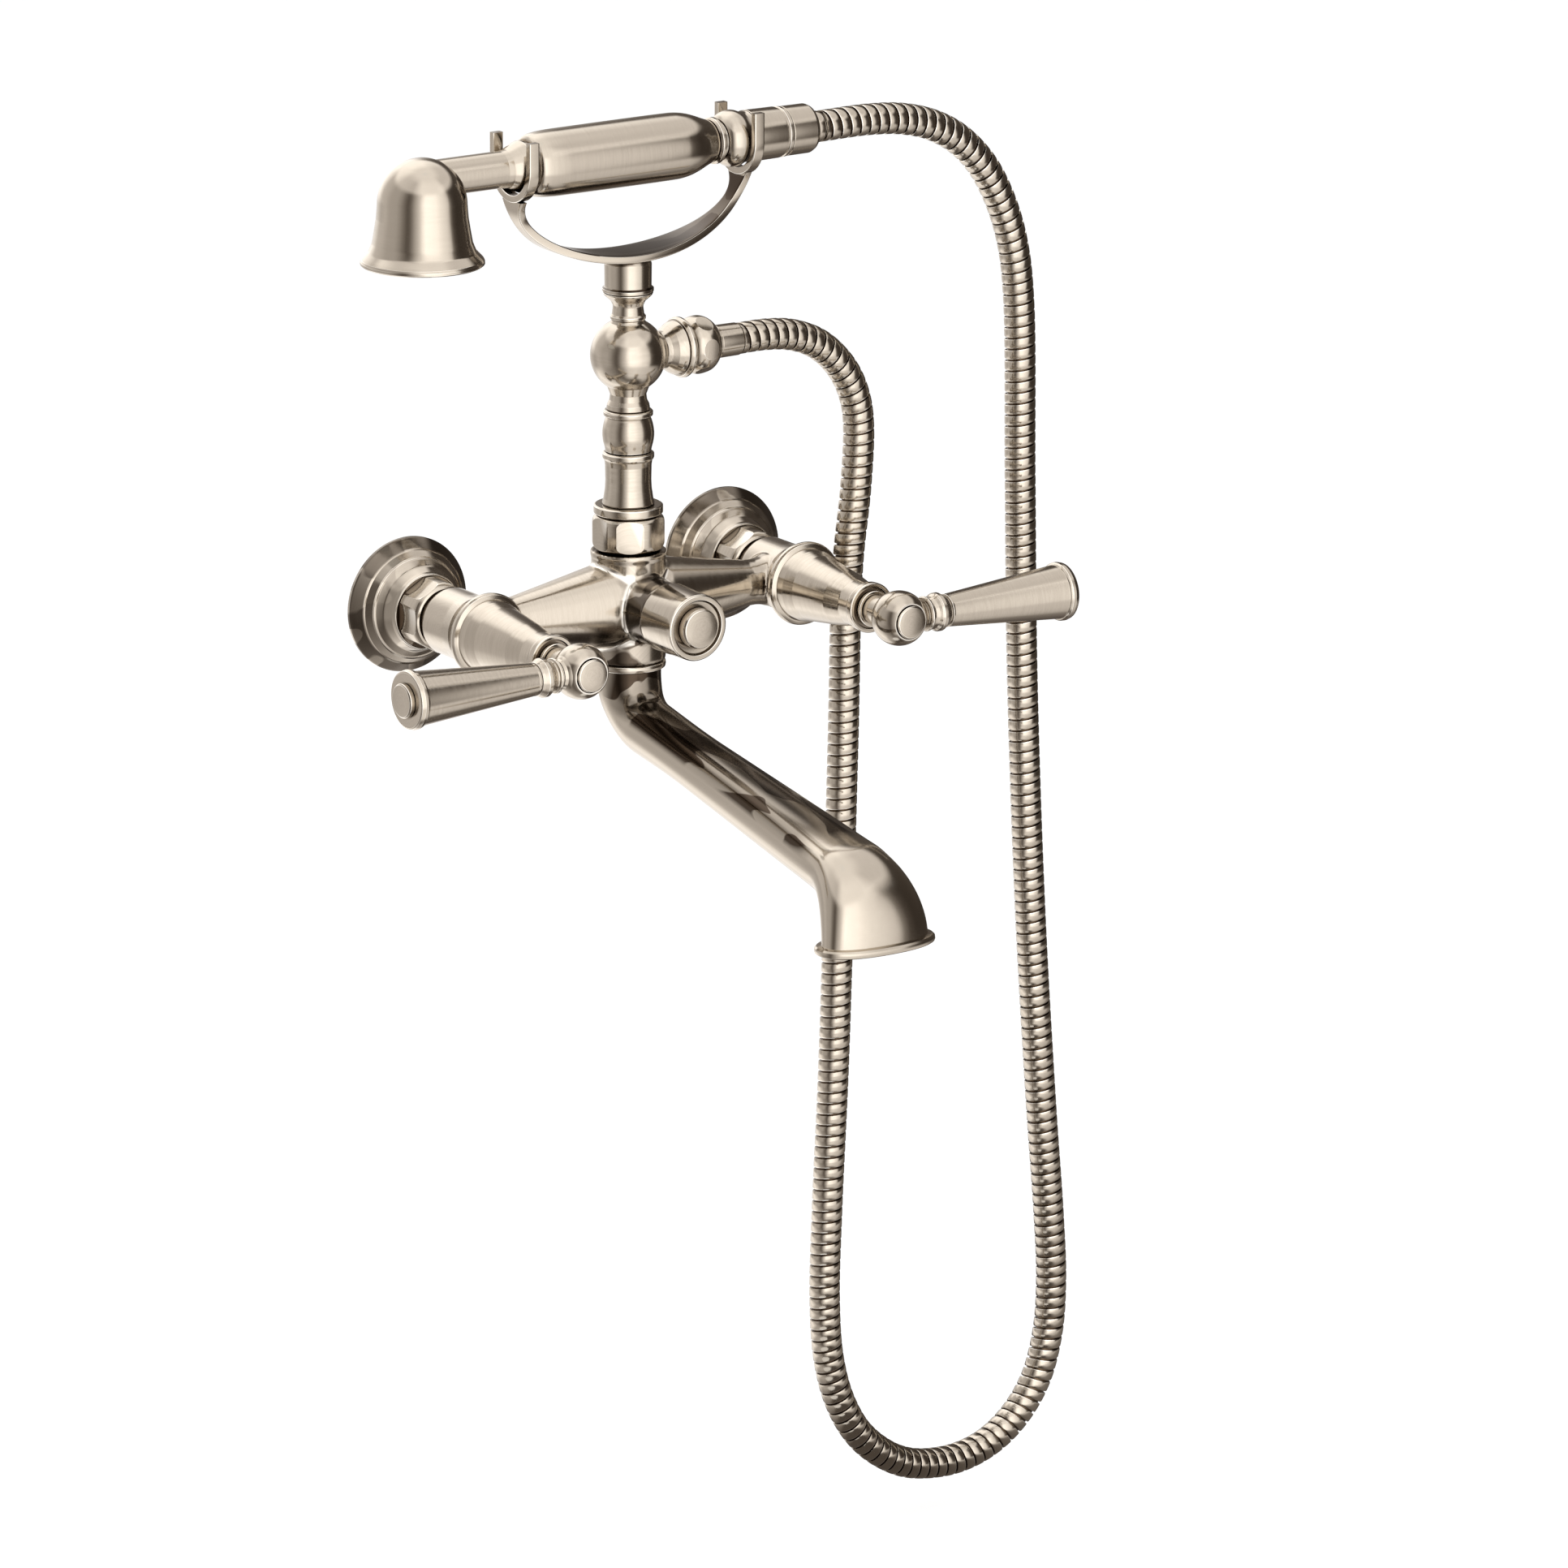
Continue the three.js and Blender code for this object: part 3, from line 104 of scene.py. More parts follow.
riser_y = middle_of("shower_hose", "y")
hose_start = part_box("hose_nut_shower")[1].x + 0.3 * mm
hose_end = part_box("hose_ferrule_valve")[1].x - 4 * mm
shower_height = middle_of("shower_grip", "z")
valve_height = middle_of("hose_ferrule_valve", "z")
hose_route = [
    (hose_start, shower_height), (0.138, shower_height), (0.157, 0.2168), (0.174, 0.212),
    (0.190, 0.203), (0.204, 0.189), (0.215, 0.170), (0.2225, 0.148), (0.2264, 0.120),
    (0.2282, 0.030), (0.2305, -0.070), (0.2365, -0.190), (0.2445, -0.295), (0.2495, -0.350),
    (0.2514, -0.385), (0.2494, -0.412), (0.2423, -0.435), (0.2300, -0.4515), (0.2144, -0.4623),
    (0.1973, -0.4673), (0.1800, -0.4675), (0.1630, -0.4638), (0.1476, -0.4551),
    (0.1340, -0.4420), (0.1233, -0.4230), (0.1170, -0.4000), (0.1147, -0.3700),
    (0.1160, -0.3220), (0.1195, -0.2500), (0.1242, -0.0900), (0.1265, 0.0), (0.1310, 0.038),
    (0.1326, 0.068), (0.1308, 0.0816), (0.1256, 0.0943), (0.1172, 0.1052), (0.1063, 0.1136),
    (0.0926, 0.1189), (0.078, valve_height), (hose_end, valve_height)]
hose_points = [Vector((x, riser_y, z)) for x, z in hose_route]


def smooth_line(points, steps):
    """A centripetal curve through the points, with so many steps between each pair."""
    ends = [2 * points[0] - points[1], *points, 2 * points[-1] - points[-2]]
    line = []
    for a, b, c, d in zip(ends, ends[1:], ends[2:], ends[3:]):
        t1 = sqrt((b - a).length)
        t2 = t1 + sqrt((c - b).length)
        t3 = t2 + sqrt((d - c).length)
        for step in range(steps):
            t = t1 + (t2 - t1) * step / steps
            ab = a.lerp(b, t / t1)
            bc = b.lerp(c, (t - t1) / (t2 - t1))
            cd = c.lerp(d, (t - t2) / (t3 - t2))
            line.append(ab.lerp(bc, t / t2).lerp(bc.lerp(cd, (t - t1) / (t3 - t1)),
                                                 (t - t1) / (t2 - t1)))
    return line + [points[-1]]


hose_line = smooth_line(hose_points, 16)
hose_length = sum((b - a).length for a, b in zip(hose_line, hose_line[1:]))


def alone(piece):
    """Leaves one object selected and active."""
    bpy.ops.object.select_all(action="DESELECT")
    piece.select_set(True)
    bpy.context.view_layer.objects.active = piece


def clamped(value):
    """A value kept between 0 and 1."""
    return min(1.0, max(0.0, value))


def marked(piece, name, values):
    """Writes one value for each point of a piece's mesh, for its material to read."""
    piece.data.attributes.new(name, "FLOAT", "POINT").data.foreach_set("value", values)


def applied(piece, kind, **settings):
    """Works a piece with one modifier, and leaves it selected and active."""
    alone(piece)
    work = piece.modifiers.new("work", kind)
    for key, value in settings.items():
        setattr(work, key, value)
    bpy.ops.object.modifier_apply(modifier="work")


def drawn(name, path, start=0):
    """A line drawn in the XZ plane, in edit mode, through (station, radius) points."""
    bpy.ops.object.select_all(action="DESELECT")
    bpy.ops.mesh.primitive_plane_add(size=mm)
    piece = bpy.context.object
    piece.name = piece.data.name = name
    bpy.ops.object.mode_set(mode="EDIT")
    bpy.ops.mesh.merge(type="CENTER")
    bpy.ops.transform.translate(value=(path[0][1] * mm, 0, (start + path[0][0]) * mm))
    for (s0, r0), (s1, r1) in zip(path, path[1:]):
        bpy.ops.mesh.extrude_region_move(
            TRANSFORM_OT_translate={"value": ((r1 - r0) * mm, 0, (s1 - s0) * mm)})
    return piece


def node_group(name, outputs):
    """A shader group that takes a Vector and gives the named values."""
    group = bpy.data.node_groups.new(name, "ShaderNodeTree")
    group.interface.new_socket("Vector", in_out="INPUT", socket_type="NodeSocketVector")
    for output in outputs:
        group.interface.new_socket(output, in_out="OUTPUT", socket_type="NodeSocketFloat")
    return group, group.nodes.new("NodeGroupInput"), group.nodes.new("NodeGroupOutput")


def add(tree, kind, links=(), **values):
    """A node with its values set and its inputs linked, as (input, socket) pairs."""
    node = tree.nodes.new(kind)
    for key, value in values.items():
        setattr(node, key, value)
    for where, source in links:
        if isinstance(source, bpy.types.NodeSocket):
            tree.links.new(source, node.inputs[where])
        else:
            node.inputs[where].default_value = source
    return node


def summed(tree, operation, *values, kind="ShaderNodeMath"):
    """What one operation makes of its values or sockets."""
    return add(tree, kind, enumerate(values), operation=operation).outputs[0]


def noise(tree, where, scale, detail, roughness=0.5):
    """Soft noise between 0 and 1."""
    cloud = add(tree, "ShaderNodeTexNoise", [("Vector", where), ("Scale", scale),
                                             ("Detail", detail), ("Roughness", roughness)])
    return cloud.outputs["Fac"]


def tinted(tree, share, colour, over):
    """A colour with another one laid over it, by a share from 0 to 1."""
    mix = add(tree, "ShaderNodeMix", [("Factor", share), (6, colour), (7, over)],
              data_type="RGBA")
    return mix.outputs[2]


def ranged(tree, value, from_low, from_high, to_low, to_high):
    """A value moved from one range to another, and kept inside it."""
    span = add(tree, "ShaderNodeMapRange", [("Value", value), ("From Min", from_low),
                                            ("From Max", from_high), ("To Min", to_low),
                                            ("To Max", to_high)])
    return span.outputs[0]


# Brushing along a line, for cast pieces: streaks that run along the local Z axis.
def streak_group():
    group, taken, given = node_group("brushed streaks", ("Height", "Tone"))
    for output, across, along, detail in (("Height", 3600, 90, 3), ("Tone", 260, 26, 4)):
        place = summed(group, "MULTIPLY", taken.outputs[0], (across, across, along),
                       kind="ShaderNodeVectorMath")
        group.links.new(noise(group, place, 1.0, detail, 0.6), given.inputs[output])
    return group


brushed_streaks = streak_group()
nickel_light = (0.57, 0.515, 0.44, 1)
nickel_deep = (0.45, 0.40, 0.335, 1)
# Pale nickel for rubbed edges, laid on as a painted highlight.
nickel_highlight = (0.95, 0.92, 0.86, 1)
# Brown for painted shade in corners and joints, and for the dark seams of the hose.
shade_and_seam_brown = (0.10, 0.07, 0.045, 1)
# Dark brown for painted shade and painted dark reflections.
painted_shade_brown = (0.062, 0.045, 0.032, 1)


def blank(name, values):
    """A new material with some of its shader's inputs set."""
    material = bpy.data.materials.new(name)
    material.use_nodes = True
    shader = material.node_tree.nodes["Principled BSDF"]
    for key, value in values.items():
        shader.inputs[key].default_value = value
    return material, material.node_tree, shader


def nickel(name, place, group=None, rough=0.15, depth=0.006, tone=1.0,
           corners=True, groove=None, painted_shade=False):
    """Satin nickel, brushed round the local Z axis of a piece that stands at place. Its edges get a
    painted highlight of burnished metal, and its corners and joints a brown painted shade."""
    material, tree, shader = blank(name, {"Metallic": 1})
    coordinates = add(tree, "ShaderNodeTexCoord")
    back = place.inverted()
    local = add(tree, "ShaderNodeMapping", [("Vector", coordinates.outputs["Object"]),
                                            ("Location", back.to_translation()),
                                            ("Rotation", back.to_euler("XYZ"))])
    grain = add(tree, "ShaderNodeGroup", node_tree=group or brushed_rings)
    tree.links.new(local.outputs[0], grain.inputs[0])
    lines = summed(tree, "MULTIPLY_ADD", grain.outputs["Tone"], tone, 0.55 - 0.5 * tone)
    result = tinted(tree, lines, nickel_deep, nickel_light)
    finish = ranged(tree, lines, 0.3, 0.7, rough + 0.05, rough - 0.04)
    relief = add(tree, "ShaderNodeBump", [("Height", grain.outputs["Height"]),
                                          ("Strength", 0.5), ("Distance", depth * mm)])
    if corners:
        # Painted shade: ambient occlusion darkens the colour towards brown in corners and joints.
        corner = add(tree, "ShaderNodeAmbientOcclusion", [("Distance", 5 * mm)], samples=12)
        occlusion_shade = ranged(tree, corner.outputs["AO"], 0.25, 0.75, 1.0, 0.0)
        result = tinted(tree, occlusion_shade, result, shade_and_seam_brown)
    # Painted highlight: the marked edges, rubbed bright, are lightened towards pale nickel.
    edge_highlight = add(tree, "ShaderNodeAttribute", attribute_name="wear_and_highlight")
    result = tinted(tree, edge_highlight.outputs["Fac"], result, nickel_highlight)
    if groove:
        # The joint between two turns of the strip is dull and dark.
        seam = add(tree, "ShaderNodeAttribute", attribute_name=groove)
        result = tinted(tree, seam.outputs["Fac"], result, shade_and_seam_brown)
    if painted_shade:
        # Painted shade: dark brown where the piece's mask asks for it, broken by long patches of noise.
        shade_mask = add(tree, "ShaderNodeAttribute", attribute_name="painted_shade")
        spread = add(tree, "ShaderNodeMapping", [("Vector", local.outputs[0]),
                                                 ("Scale", (62.0, 62.0, 22.0))])
        patch = ranged(tree, noise(tree, spread.outputs[0], 1.0, 1.5, 0.4), 0.49, 0.51, 1.0, 0.3)
        left = summed(tree, "MULTIPLY", shade_mask.outputs["Fac"], patch)
        result = tinted(tree, left, result, painted_shade_brown)
    tree.links.new(result, shader.inputs["Base Color"])
    tree.links.new(finish, shader.inputs["Roughness"])
    tree.links.new(relief.outputs[0], shader.inputs["Normal"])
    return material


strip_pitch = 5.5
turns = round(hose_length / mm / strip_pitch)
strip_pitch = hose_length / mm / turns
strip = [(0, 6.3), (0.3, 6.3), (0.36, 7.45), (0.8, 7.62), (2.6, 7.62), (4.3, 7.58), (4.8, 7.35),
         (4.9, 6.3), (strip_pitch, 6.3)]
hose = drawn("hose", strip, start=-2 * strip_pitch)
bpy.ops.object.mode_set(mode="OBJECT")
applied(hose, "SCREW", screw_offset=strip_pitch * mm, iterations=turns + 4, steps=22,
        render_steps=22, use_normal_flip=True, use_smooth_shade=False)
bpy.ops.object.mode_set(mode="EDIT")
bpy.ops.mesh.select_all(action="SELECT")
bpy.ops.mesh.remove_doubles(threshold=1e-6)
for height, outside in ((0, False), (hose_length, True)):
    bpy.ops.mesh.select_all(action="SELECT")
    bpy.ops.mesh.bisect(plane_co=(0, 0, height), plane_no=(0, 0, 1), use_fill=True,
                        clear_outer=outside, clear_inner=not outside)
bpy.ops.mesh.select_all(action="SELECT")
bpy.ops.mesh.normals_make_consistent(inside=False)
bpy.ops.object.mode_set(mode="OBJECT")
outs = [hypot(vertex.co.x, vertex.co.y) / mm for vertex in hose.data.vertices]
marked(hose, "seam", [clamped((7.1 - out) / 0.4) for out in outs])
marked(hose, "way", [vertex.co.z / hose_length for vertex in hose.data.vertices])
# Painted highlight on the rubbed outer edge of each turn of the strip.
marked(hose, "wear_and_highlight", [1.0 if abs(out - 7.45) < 0.03 else 0.0 for out in outs])

bpy.ops.object.select_all(action="DESELECT")
line_data = bpy.data.curves.new("hose line", "CURVE")
line_data.dimensions = "3D"
line_data.twist_mode = "MINIMUM"
spline = line_data.splines.new("POLY")
spline.points.add(len(hose_line) - 1)
for point, here in zip(spline.points, hose_line):
    point.co = (*here, 1)
guide = bpy.data.objects.new("hose line", line_data)
bpy.context.collection.objects.link(guide)
applied(hose, "CURVE", object=guide, deform_axis="POS_Z")
bpy.data.objects.remove(guide)
bpy.ops.object.shade_smooth_by_angle(angle=radians(35))
hose.data.materials.append(nickel("hose nickel", Matrix.Identity(4), group=brushed_streaks,
                                  rough=0.17, corners=False, groove="seam"))
# Its upper end follows the shower and its lower run stays: the bottom loop takes up the lift.
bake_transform(hose, "faucet", "hand_shower", tuple(hose_line[-1]), tuple(hose_line[0]))
lifted, hanging = 0.36, 0.56          # shares of the length, from the shower end
weights = hose.data.attributes["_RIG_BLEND"]
ways = hose.data.attributes["way"]
for i in range(len(hose.data.vertices)):
    share = clamped((ways.data[i].value - lifted) / (hanging - lifted))
    weights.data[i].value = 1 - share * share * (3 - 2 * share)
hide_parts("shower_hose")
tuple(hose_line[0])
[tuple(p) for p in hose_line]


# --------------------------------------------------------------------------- wall inlets
# Each inlet has a threaded brass union in the wall, a spun cover plate with two beads over it,
# and a hexagon nut, chamfered at both ends, that draws the body on to the union.
inlet_x = middle_of("wall_union_right", "x")
outward = Matrix.Rotation(pi / 2, 4, "X")
rightward = Matrix.Rotation(pi / 2, 4, "Y")
inlets = {side: Matrix.Translation((sign * inlet_x, 0, 0)) @ outward
          for side, sign in (("left", -1), ("right", 1))}


# Brushing round an axis: fine rings on turned faces, long streaks on flat ones, and a slow
# drift in the depth of the brushing. Object coordinates come in metres.
def brushing_group():
    group, taken, given = node_group("brushed rings", ("Height", "Tone"))
    split = add(group, "ShaderNodeSeparateXYZ", [(0, taken.outputs[0])])
    flat = add(group, "ShaderNodeCombineXYZ", [(0, split.outputs[0]), (1, split.outputs[1])])
    radius = add(group, "ShaderNodeVectorMath", [(0, flat.outputs[0])], operation="LENGTH")
    around = add(group, "ShaderNodeVectorMath", [(0, flat.outputs[0])], operation="NORMALIZE")
    parts = add(group, "ShaderNodeSeparateXYZ", [(0, around.outputs[0])])
    reach = summed(group, "MULTIPLY_ADD", radius.outputs["Value"], 1.6, split.outputs[2])
    for output, lines, turns, detail in (("Height", 4200, 2.2, 3), ("Tone", 950, 1.3, 5)):
        place = add(group, "ShaderNodeCombineXYZ", [
            (0, summed(group, "MULTIPLY", parts.outputs[0], turns)),
            (1, summed(group, "MULTIPLY", parts.outputs[1], turns)),
            (2, summed(group, "MULTIPLY", reach, lines))])
        group.links.new(noise(group, place.outputs[0], 1.0, detail, 0.62), given.inputs[output])
    return group


brushed_rings = brushing_group()
inlet_nickel = {side: nickel(f"inlet nickel {side}", place) for side, place in inlets.items()}
plate_nickel = {side: nickel(f"plate nickel {side}", place, painted_shade=True)
                for side, place in inlets.items()}


def softened(corners, steps=4):
    """An outline with its corners rounded. A corner is (station, radius, fillet)."""
    points = []
    for i, corner in enumerate(corners):
        here = Vector(corner[:2])
        if len(corner) < 3:
            points.append(tuple(here))
            continue
        back = (Vector(corners[i - 1][:2]) - here).normalized()
        on = (Vector(corners[(i + 1) % len(corners)][:2]) - here).normalized()
        half = back.angle(on) / 2
        centre = here + (back + on).normalized() * corner[2] / sin(half)
        start = here + back * corner[2] / tan(half) - centre
        end = here + on * corner[2] / tan(half) - centre
        points += [tuple(centre + start.slerp(end, step / steps).normalized() * corner[2])
                   for step in range(steps + 1)]
    return points


def turned(name, outline, place, steps=96, sharp=30):
    """A turned piece: the outline is drawn point by point, spun about +Z and put in place.
    It starts and ends on the axis, or closes on itself where the piece is bored through."""
    path = outline + [outline[0]] if outline[0][1] > 0 else outline
    path = [here for here, last in zip(path, [None] + path) if here != last]
    piece = drawn(name, path)
    bpy.ops.mesh.select_all(action="SELECT")
    bpy.ops.mesh.spin(steps=steps, angle=2 * pi, center=(0, 0, 0), axis=(0, 0, 1))
    bpy.ops.mesh.select_all(action="SELECT")
    bpy.ops.mesh.remove_doubles(threshold=2e-6)
    bpy.ops.mesh.normals_make_consistent(inside=False)
    bpy.ops.object.mode_set(mode="OBJECT")
    piece.data.transform(place)
    bpy.ops.object.shade_smooth_by_angle(angle=radians(sharp))
    return piece


def speckled(name, dark, light, metallic, rough, scale=700.0, detail=4.0, relief=0.25):
    """A machined or moulded finish: two shades and a slight relief in fine specks."""
    material, tree, shader = blank(name, {"Metallic": metallic, "Roughness": rough})
    where = add(tree, "ShaderNodeTexCoord")
    specks = noise(tree, where.outputs["Object"], scale, detail)
    bumps = add(tree, "ShaderNodeBump", [("Height", specks), ("Strength", relief),
                                         ("Distance", 0.1 * mm)])
    tree.links.new(tinted(tree, specks, (*dark, 1), (*light, 1)), shader.inputs["Base Color"])
    tree.links.new(bumps.outputs[0], shader.inputs["Normal"])
    return material


bare_brass = speckled("machined brass", (0.46, 0.30, 0.11), (0.62, 0.43, 0.17), 1, 0.35)


def copied(piece, name, move):
    """A second piece with its own mesh, moved by a matrix."""
    alone(piece)
    bpy.ops.object.duplicate(linked=False)
    twin = bpy.context.object
    twin.name = twin.data.name = name
    twin.data.transform(move)
    if move.determinant() < 0:
        twin.data.flip_normals()
    return twin


def fitted(piece, tool, operation):
    """Applies a Boolean with another piece, which is used up."""
    applied(piece, "BOOLEAN", operation=operation, solver="EXACT", object=tool)
    bpy.data.objects.remove(tool)
    return piece


def wear_marked(piece):
    """Marks the small outward roundings of a piece, where the metal is rubbed bright and a painted highlight
    is laid.
    """
    shape = bmesh.new()
    shape.from_mesh(piece.data)
    sharpest = [0.0] * len(shape.verts)
    for edge in shape.edges:
        if len(edge.link_faces) == 2:
            one, other = edge.link_faces
            apart = (one.calc_center_median() - other.calc_center_median()).length / mm
            curve = edge.calc_face_angle_signed(0) / max(apart, 0.02)
            for vertex in edge.verts:
                sharpest[vertex.index] = max(sharpest[vertex.index], curve)
    shape.free()
    marked(piece, "wear_and_highlight", [clamped((curve - 0.9) / 1.3) for curve in sharpest])


def finish_piece(piece, material, body, *nodes, slot="nickel"):
    """Gives a finished piece its material and its body, and lets it stand for CAD nodes."""
    wear_marked(piece)
    piece.data.materials.clear()
    piece.data.materials.append(material)
    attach(piece, body)
    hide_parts(*nodes)


def paired(name, right, move, metal, body, node, slot="nickel"):
    """Finishes a right-hand piece and its copy on the left. Braces in body take the side."""
    for side, piece in (("right", right), ("left", copied(right, f"{name}_left", move))):
        finish_piece(piece, metal[side], body.format(side), f"{node}_{side}", slot=slot)


def hex_nut(name, outline, flats, place, turn=0.0):
    """A turned and bored nut whose sides are then milled to a hexagon."""
    low = min(s for s, r in outline) - 1
    high = max(s for s, r in outline) + 1
    nut = turned(name, outline, Matrix.Identity(4), steps=120)
    bpy.ops.object.select_all(action="DESELECT")
    bpy.ops.mesh.primitive_cylinder_add(vertices=6, radius=flats / sqrt(3) * mm,
                                        depth=(high - low) * mm,
                                        location=(0, 0, (low + high) / 2 * mm),
                                        rotation=(0, 0, turn))
    nut = fitted(nut, bpy.context.object, "INTERSECT")
    applied(nut, "BEVEL", width=0.3 * mm, segments=2, limit_method="ANGLE",
            angle_limit=radians(9))
    bpy.ops.object.shade_smooth_by_angle(angle=radians(24))
    nut.data.transform(place)
    return nut


thread = [(-13 + 1.4 * i + step, 10.2 + rise) for i in range(9)
          for step, rise in ((0, 0), (0.55, -0.9), (1.1, 0))]
union_outline = ([(-14, 7), (-14, 9.2)] + thread + softened(
    [(0.4, 10.2), (1, 10.2), (4, 13), (28.4, 13), (29, 12.4), (29, 7)]))
plate_outline = softened([
    (0, 30.9), (0, 32.9), (1.3, 32.9, 0.35), (2.0, 32.3, 0.5), (6.1, 28.3, 0.3), (6.5, 27.7, 0.3),
    (6.7, 27.3, 0.2), (9.6, 25.0, 0.3), (10.1, 24.3, 0.3), (10.3, 23.5, 0.3), (12.9, 20.7, 3),
    (17.2, 18.9, 2), (19.2, 18.5, 0.4), (19.6, 17.9, 0.3), (19.3, 17.6, 0.1), (19.1, 17.5),
    (19.1, 13.3), (16.6, 13.3), (16.6, 16.6), (12.2, 19.3), (9.0, 23.3), (5.2, 26.9), (2, 30)])
nut_flats = 32
nut_rise = [(0, 14.7), (0.5, 15.6), (1.1, 16.2), (1.9, 16.8), (2.8, 17.15), (3.8, 17.3)]
nut_outline = ([(19.3, 13.3), (19.3, 17.3)]
               + [(35.0 - s, r) for s, r in reversed(nut_rise)]
               + [(35.0, 10.7), (34.1, 10.7), (34.1, 13.3)])
union = turned("wall_stub_right", union_outline, inlets["right"])
plate = turned("cover_plate_right", plate_outline, inlets["right"], steps=160, sharp=24)
union_nut = hex_nut("inlet_nut_right", nut_outline, nut_flats, inlets["right"])
across = Matrix.Translation((-2 * inlet_x, 0, 0))
paired("wall_stub", union, across, dict.fromkeys(inlets, bare_brass), "faucet", "wall_union",
       slot="bare_brass")
paired("cover_plate", plate, across, plate_nickel, "faucet", "escutcheon")
paired("inlet_nut", union_nut, across, inlet_nickel, "faucet", "union_nut")
for side in inlets:
    # Painted shade: dark brown on the wide bevel and in the recess, and a trace of it on the rest of the
    # plate.
    piece = bpy.data.objects[f"cover_plate_{side}"]
    painted_dark = []
    for vertex in piece.data.vertices:
        station = -vertex.co.y / mm
        from_axis = hypot(abs(vertex.co.x) - inlet_x, vertex.co.z)
        in_recess = station > 19 and from_axis < 17.58 * mm
        painted_dark.append(0.75 if station < 6.3 else 1.0 if in_recess else 0.3)
    marked(piece, "painted_shade", painted_dark)

# ---------------------------------------------------------------------------- mixer body
# One brass casting: two barrels, arms that swell to a round hub, and a boss for the diverter.
# The castings are ground into each other with soft hollows, then plated and brushed.
body_y = middle_of("spout_collar", "y")
body_place = Matrix.Translation((0, body_y, 0))
boss_place = body_place @ outward
hub_radius, boss_radius, barrel_radius = 17.8, 15.8, 16.3


def joined(name, *pieces):
    """Several closed shapes as one piece, which is left selected and active."""
    alone(pieces[0])
    for piece in pieces[1:]:
        piece.select_set(True)
    bpy.ops.object.join()
    whole = bpy.context.object
    whole.name = whole.data.name = name
    return whole


barrel_outline = softened([
    (31.2, 0), (31.2, 13), (33.8, 13), (33.8, 10.4), (39.0, 10.4), (39.0, 15.7, 0.5),
    (39.9, barrel_radius, 0.5), (57, barrel_radius, 4), (64, 17, 6), (68.6, 18.3, 0.5),
    (69, 18.0), (69, 0)])
barrels = [turned("barrel", barrel_outline, place) for place in inlets.values()]
arm_half = [(14.8, 20.6), (24, 18.9), (34, 17.05), (44, 15.2), (54, 13.4), (62, 11.95),
            (66.5, 11.2), (71, 11.1), (74.7, 11.6), (78.7, 12.9), (85.7, 12.9)]
arm_outline = ([(-85.7, 0)] + [(-s, r) for s, r in reversed(arm_half)] + arm_half + [(85.7, 0)])
arms = turned("arms", arm_outline, body_place @ rightward)
post = turned("hub", [
    (-27.5, 0), (-27.5, 17.2), (-26.9, hub_radius), (22.6, hub_radius), (23.6, 18.2), (25.7, 18.2),
    (26, 17.9), (26, 13), (34, 13), (34, 0)], body_place)
boss = turned("boss", [(0, 0), (0, boss_radius), (34.2, boss_radius), (34.8, 15.2), (34.8, 0)],
              boss_place)
body = joined("body_casting", arms, post, boss, *barrels)
applied(body, "REMESH", mode="VOXEL", voxel_size=0.68 * mm)


def off_arm(x, y, z):
    """How far a point lies from the arms' skin: 20.6 at the root, it tapers by 0.184 a mm."""
    return abs(hypot(y, z) - (20.6 - 0.184 * (abs(x) - 14.8)))


hollow = body.vertex_groups.new(name="hollow")
for vertex in body.data.vertices:
    x, y, z = (v / mm for v in vertex.co)
    y -= body_y / mm
    to_post = abs(hypot(x, y) - hub_radius) if -27 < z < 22 else 9
    to_boss = abs(hypot(x, z) - boss_radius) if y < -8 else 9
    to_arm = off_arm(x, y, z) if abs(x) < 70 else 9
    to_barrel = abs(hypot(abs(x) - 90, z) - barrel_radius)
    nearest = sorted((to_post, to_boss, to_arm, to_barrel))
    hollow.add([vertex.index], clamped((4.6 - nearest[1]) / 2.2), "REPLACE")
applied(body, "SMOOTH", factor=0.5, iterations=16, vertex_group="hollow")
applied(body, "SMOOTH", factor=0.5, iterations=3)
body.vertex_groups.clear()
bpy.ops.object.shade_smooth_by_angle(angle=radians(35))
body_nickel = nickel("body nickel", body_place @ rightward, painted_shade=True)
finish_piece(body, body_nickel, "faucet", "mixer_body")
# Painted highlight in the hollows beside the arms; painted shade on what looks down and beside the boss.
painted_fillet_highlight, shaded = [], []
for vertex in body.data.vertices:
    x, y, z = (v / mm for v in vertex.co)
    y -= body_y / mm
    to_joint = (abs(hypot(x, y) - hub_radius) if y > -16 or abs(z) > 15
                else abs(hypot(x, z) - boss_radius))
    near = max(off_arm(x, y, z), to_joint)
    painted_fillet_highlight.append(0.7 * clamped((1.8 - near) / 0.7) if 7 < abs(x) < 30 else 0.0)
    by_boss = clamped((19 - hypot(x, z)) / 2) * clamped((-y - 15) / 3)
    below = clamped((24 - hypot(x, y)) / 4) * clamped((-z - 8) / 4)
    under_arm = clamped((66 - abs(x)) / 10) * clamped((-z - 5) / 5)
    shaded.append(max(0.85 * by_boss, 0.95 * below, 0.8 * under_arm) * (1 - painted_fillet_highlight[-1]))
body.data.attributes["wear_and_highlight"].data.foreach_set("value", painted_fillet_highlight)
marked(body, "painted_shade", shaded)

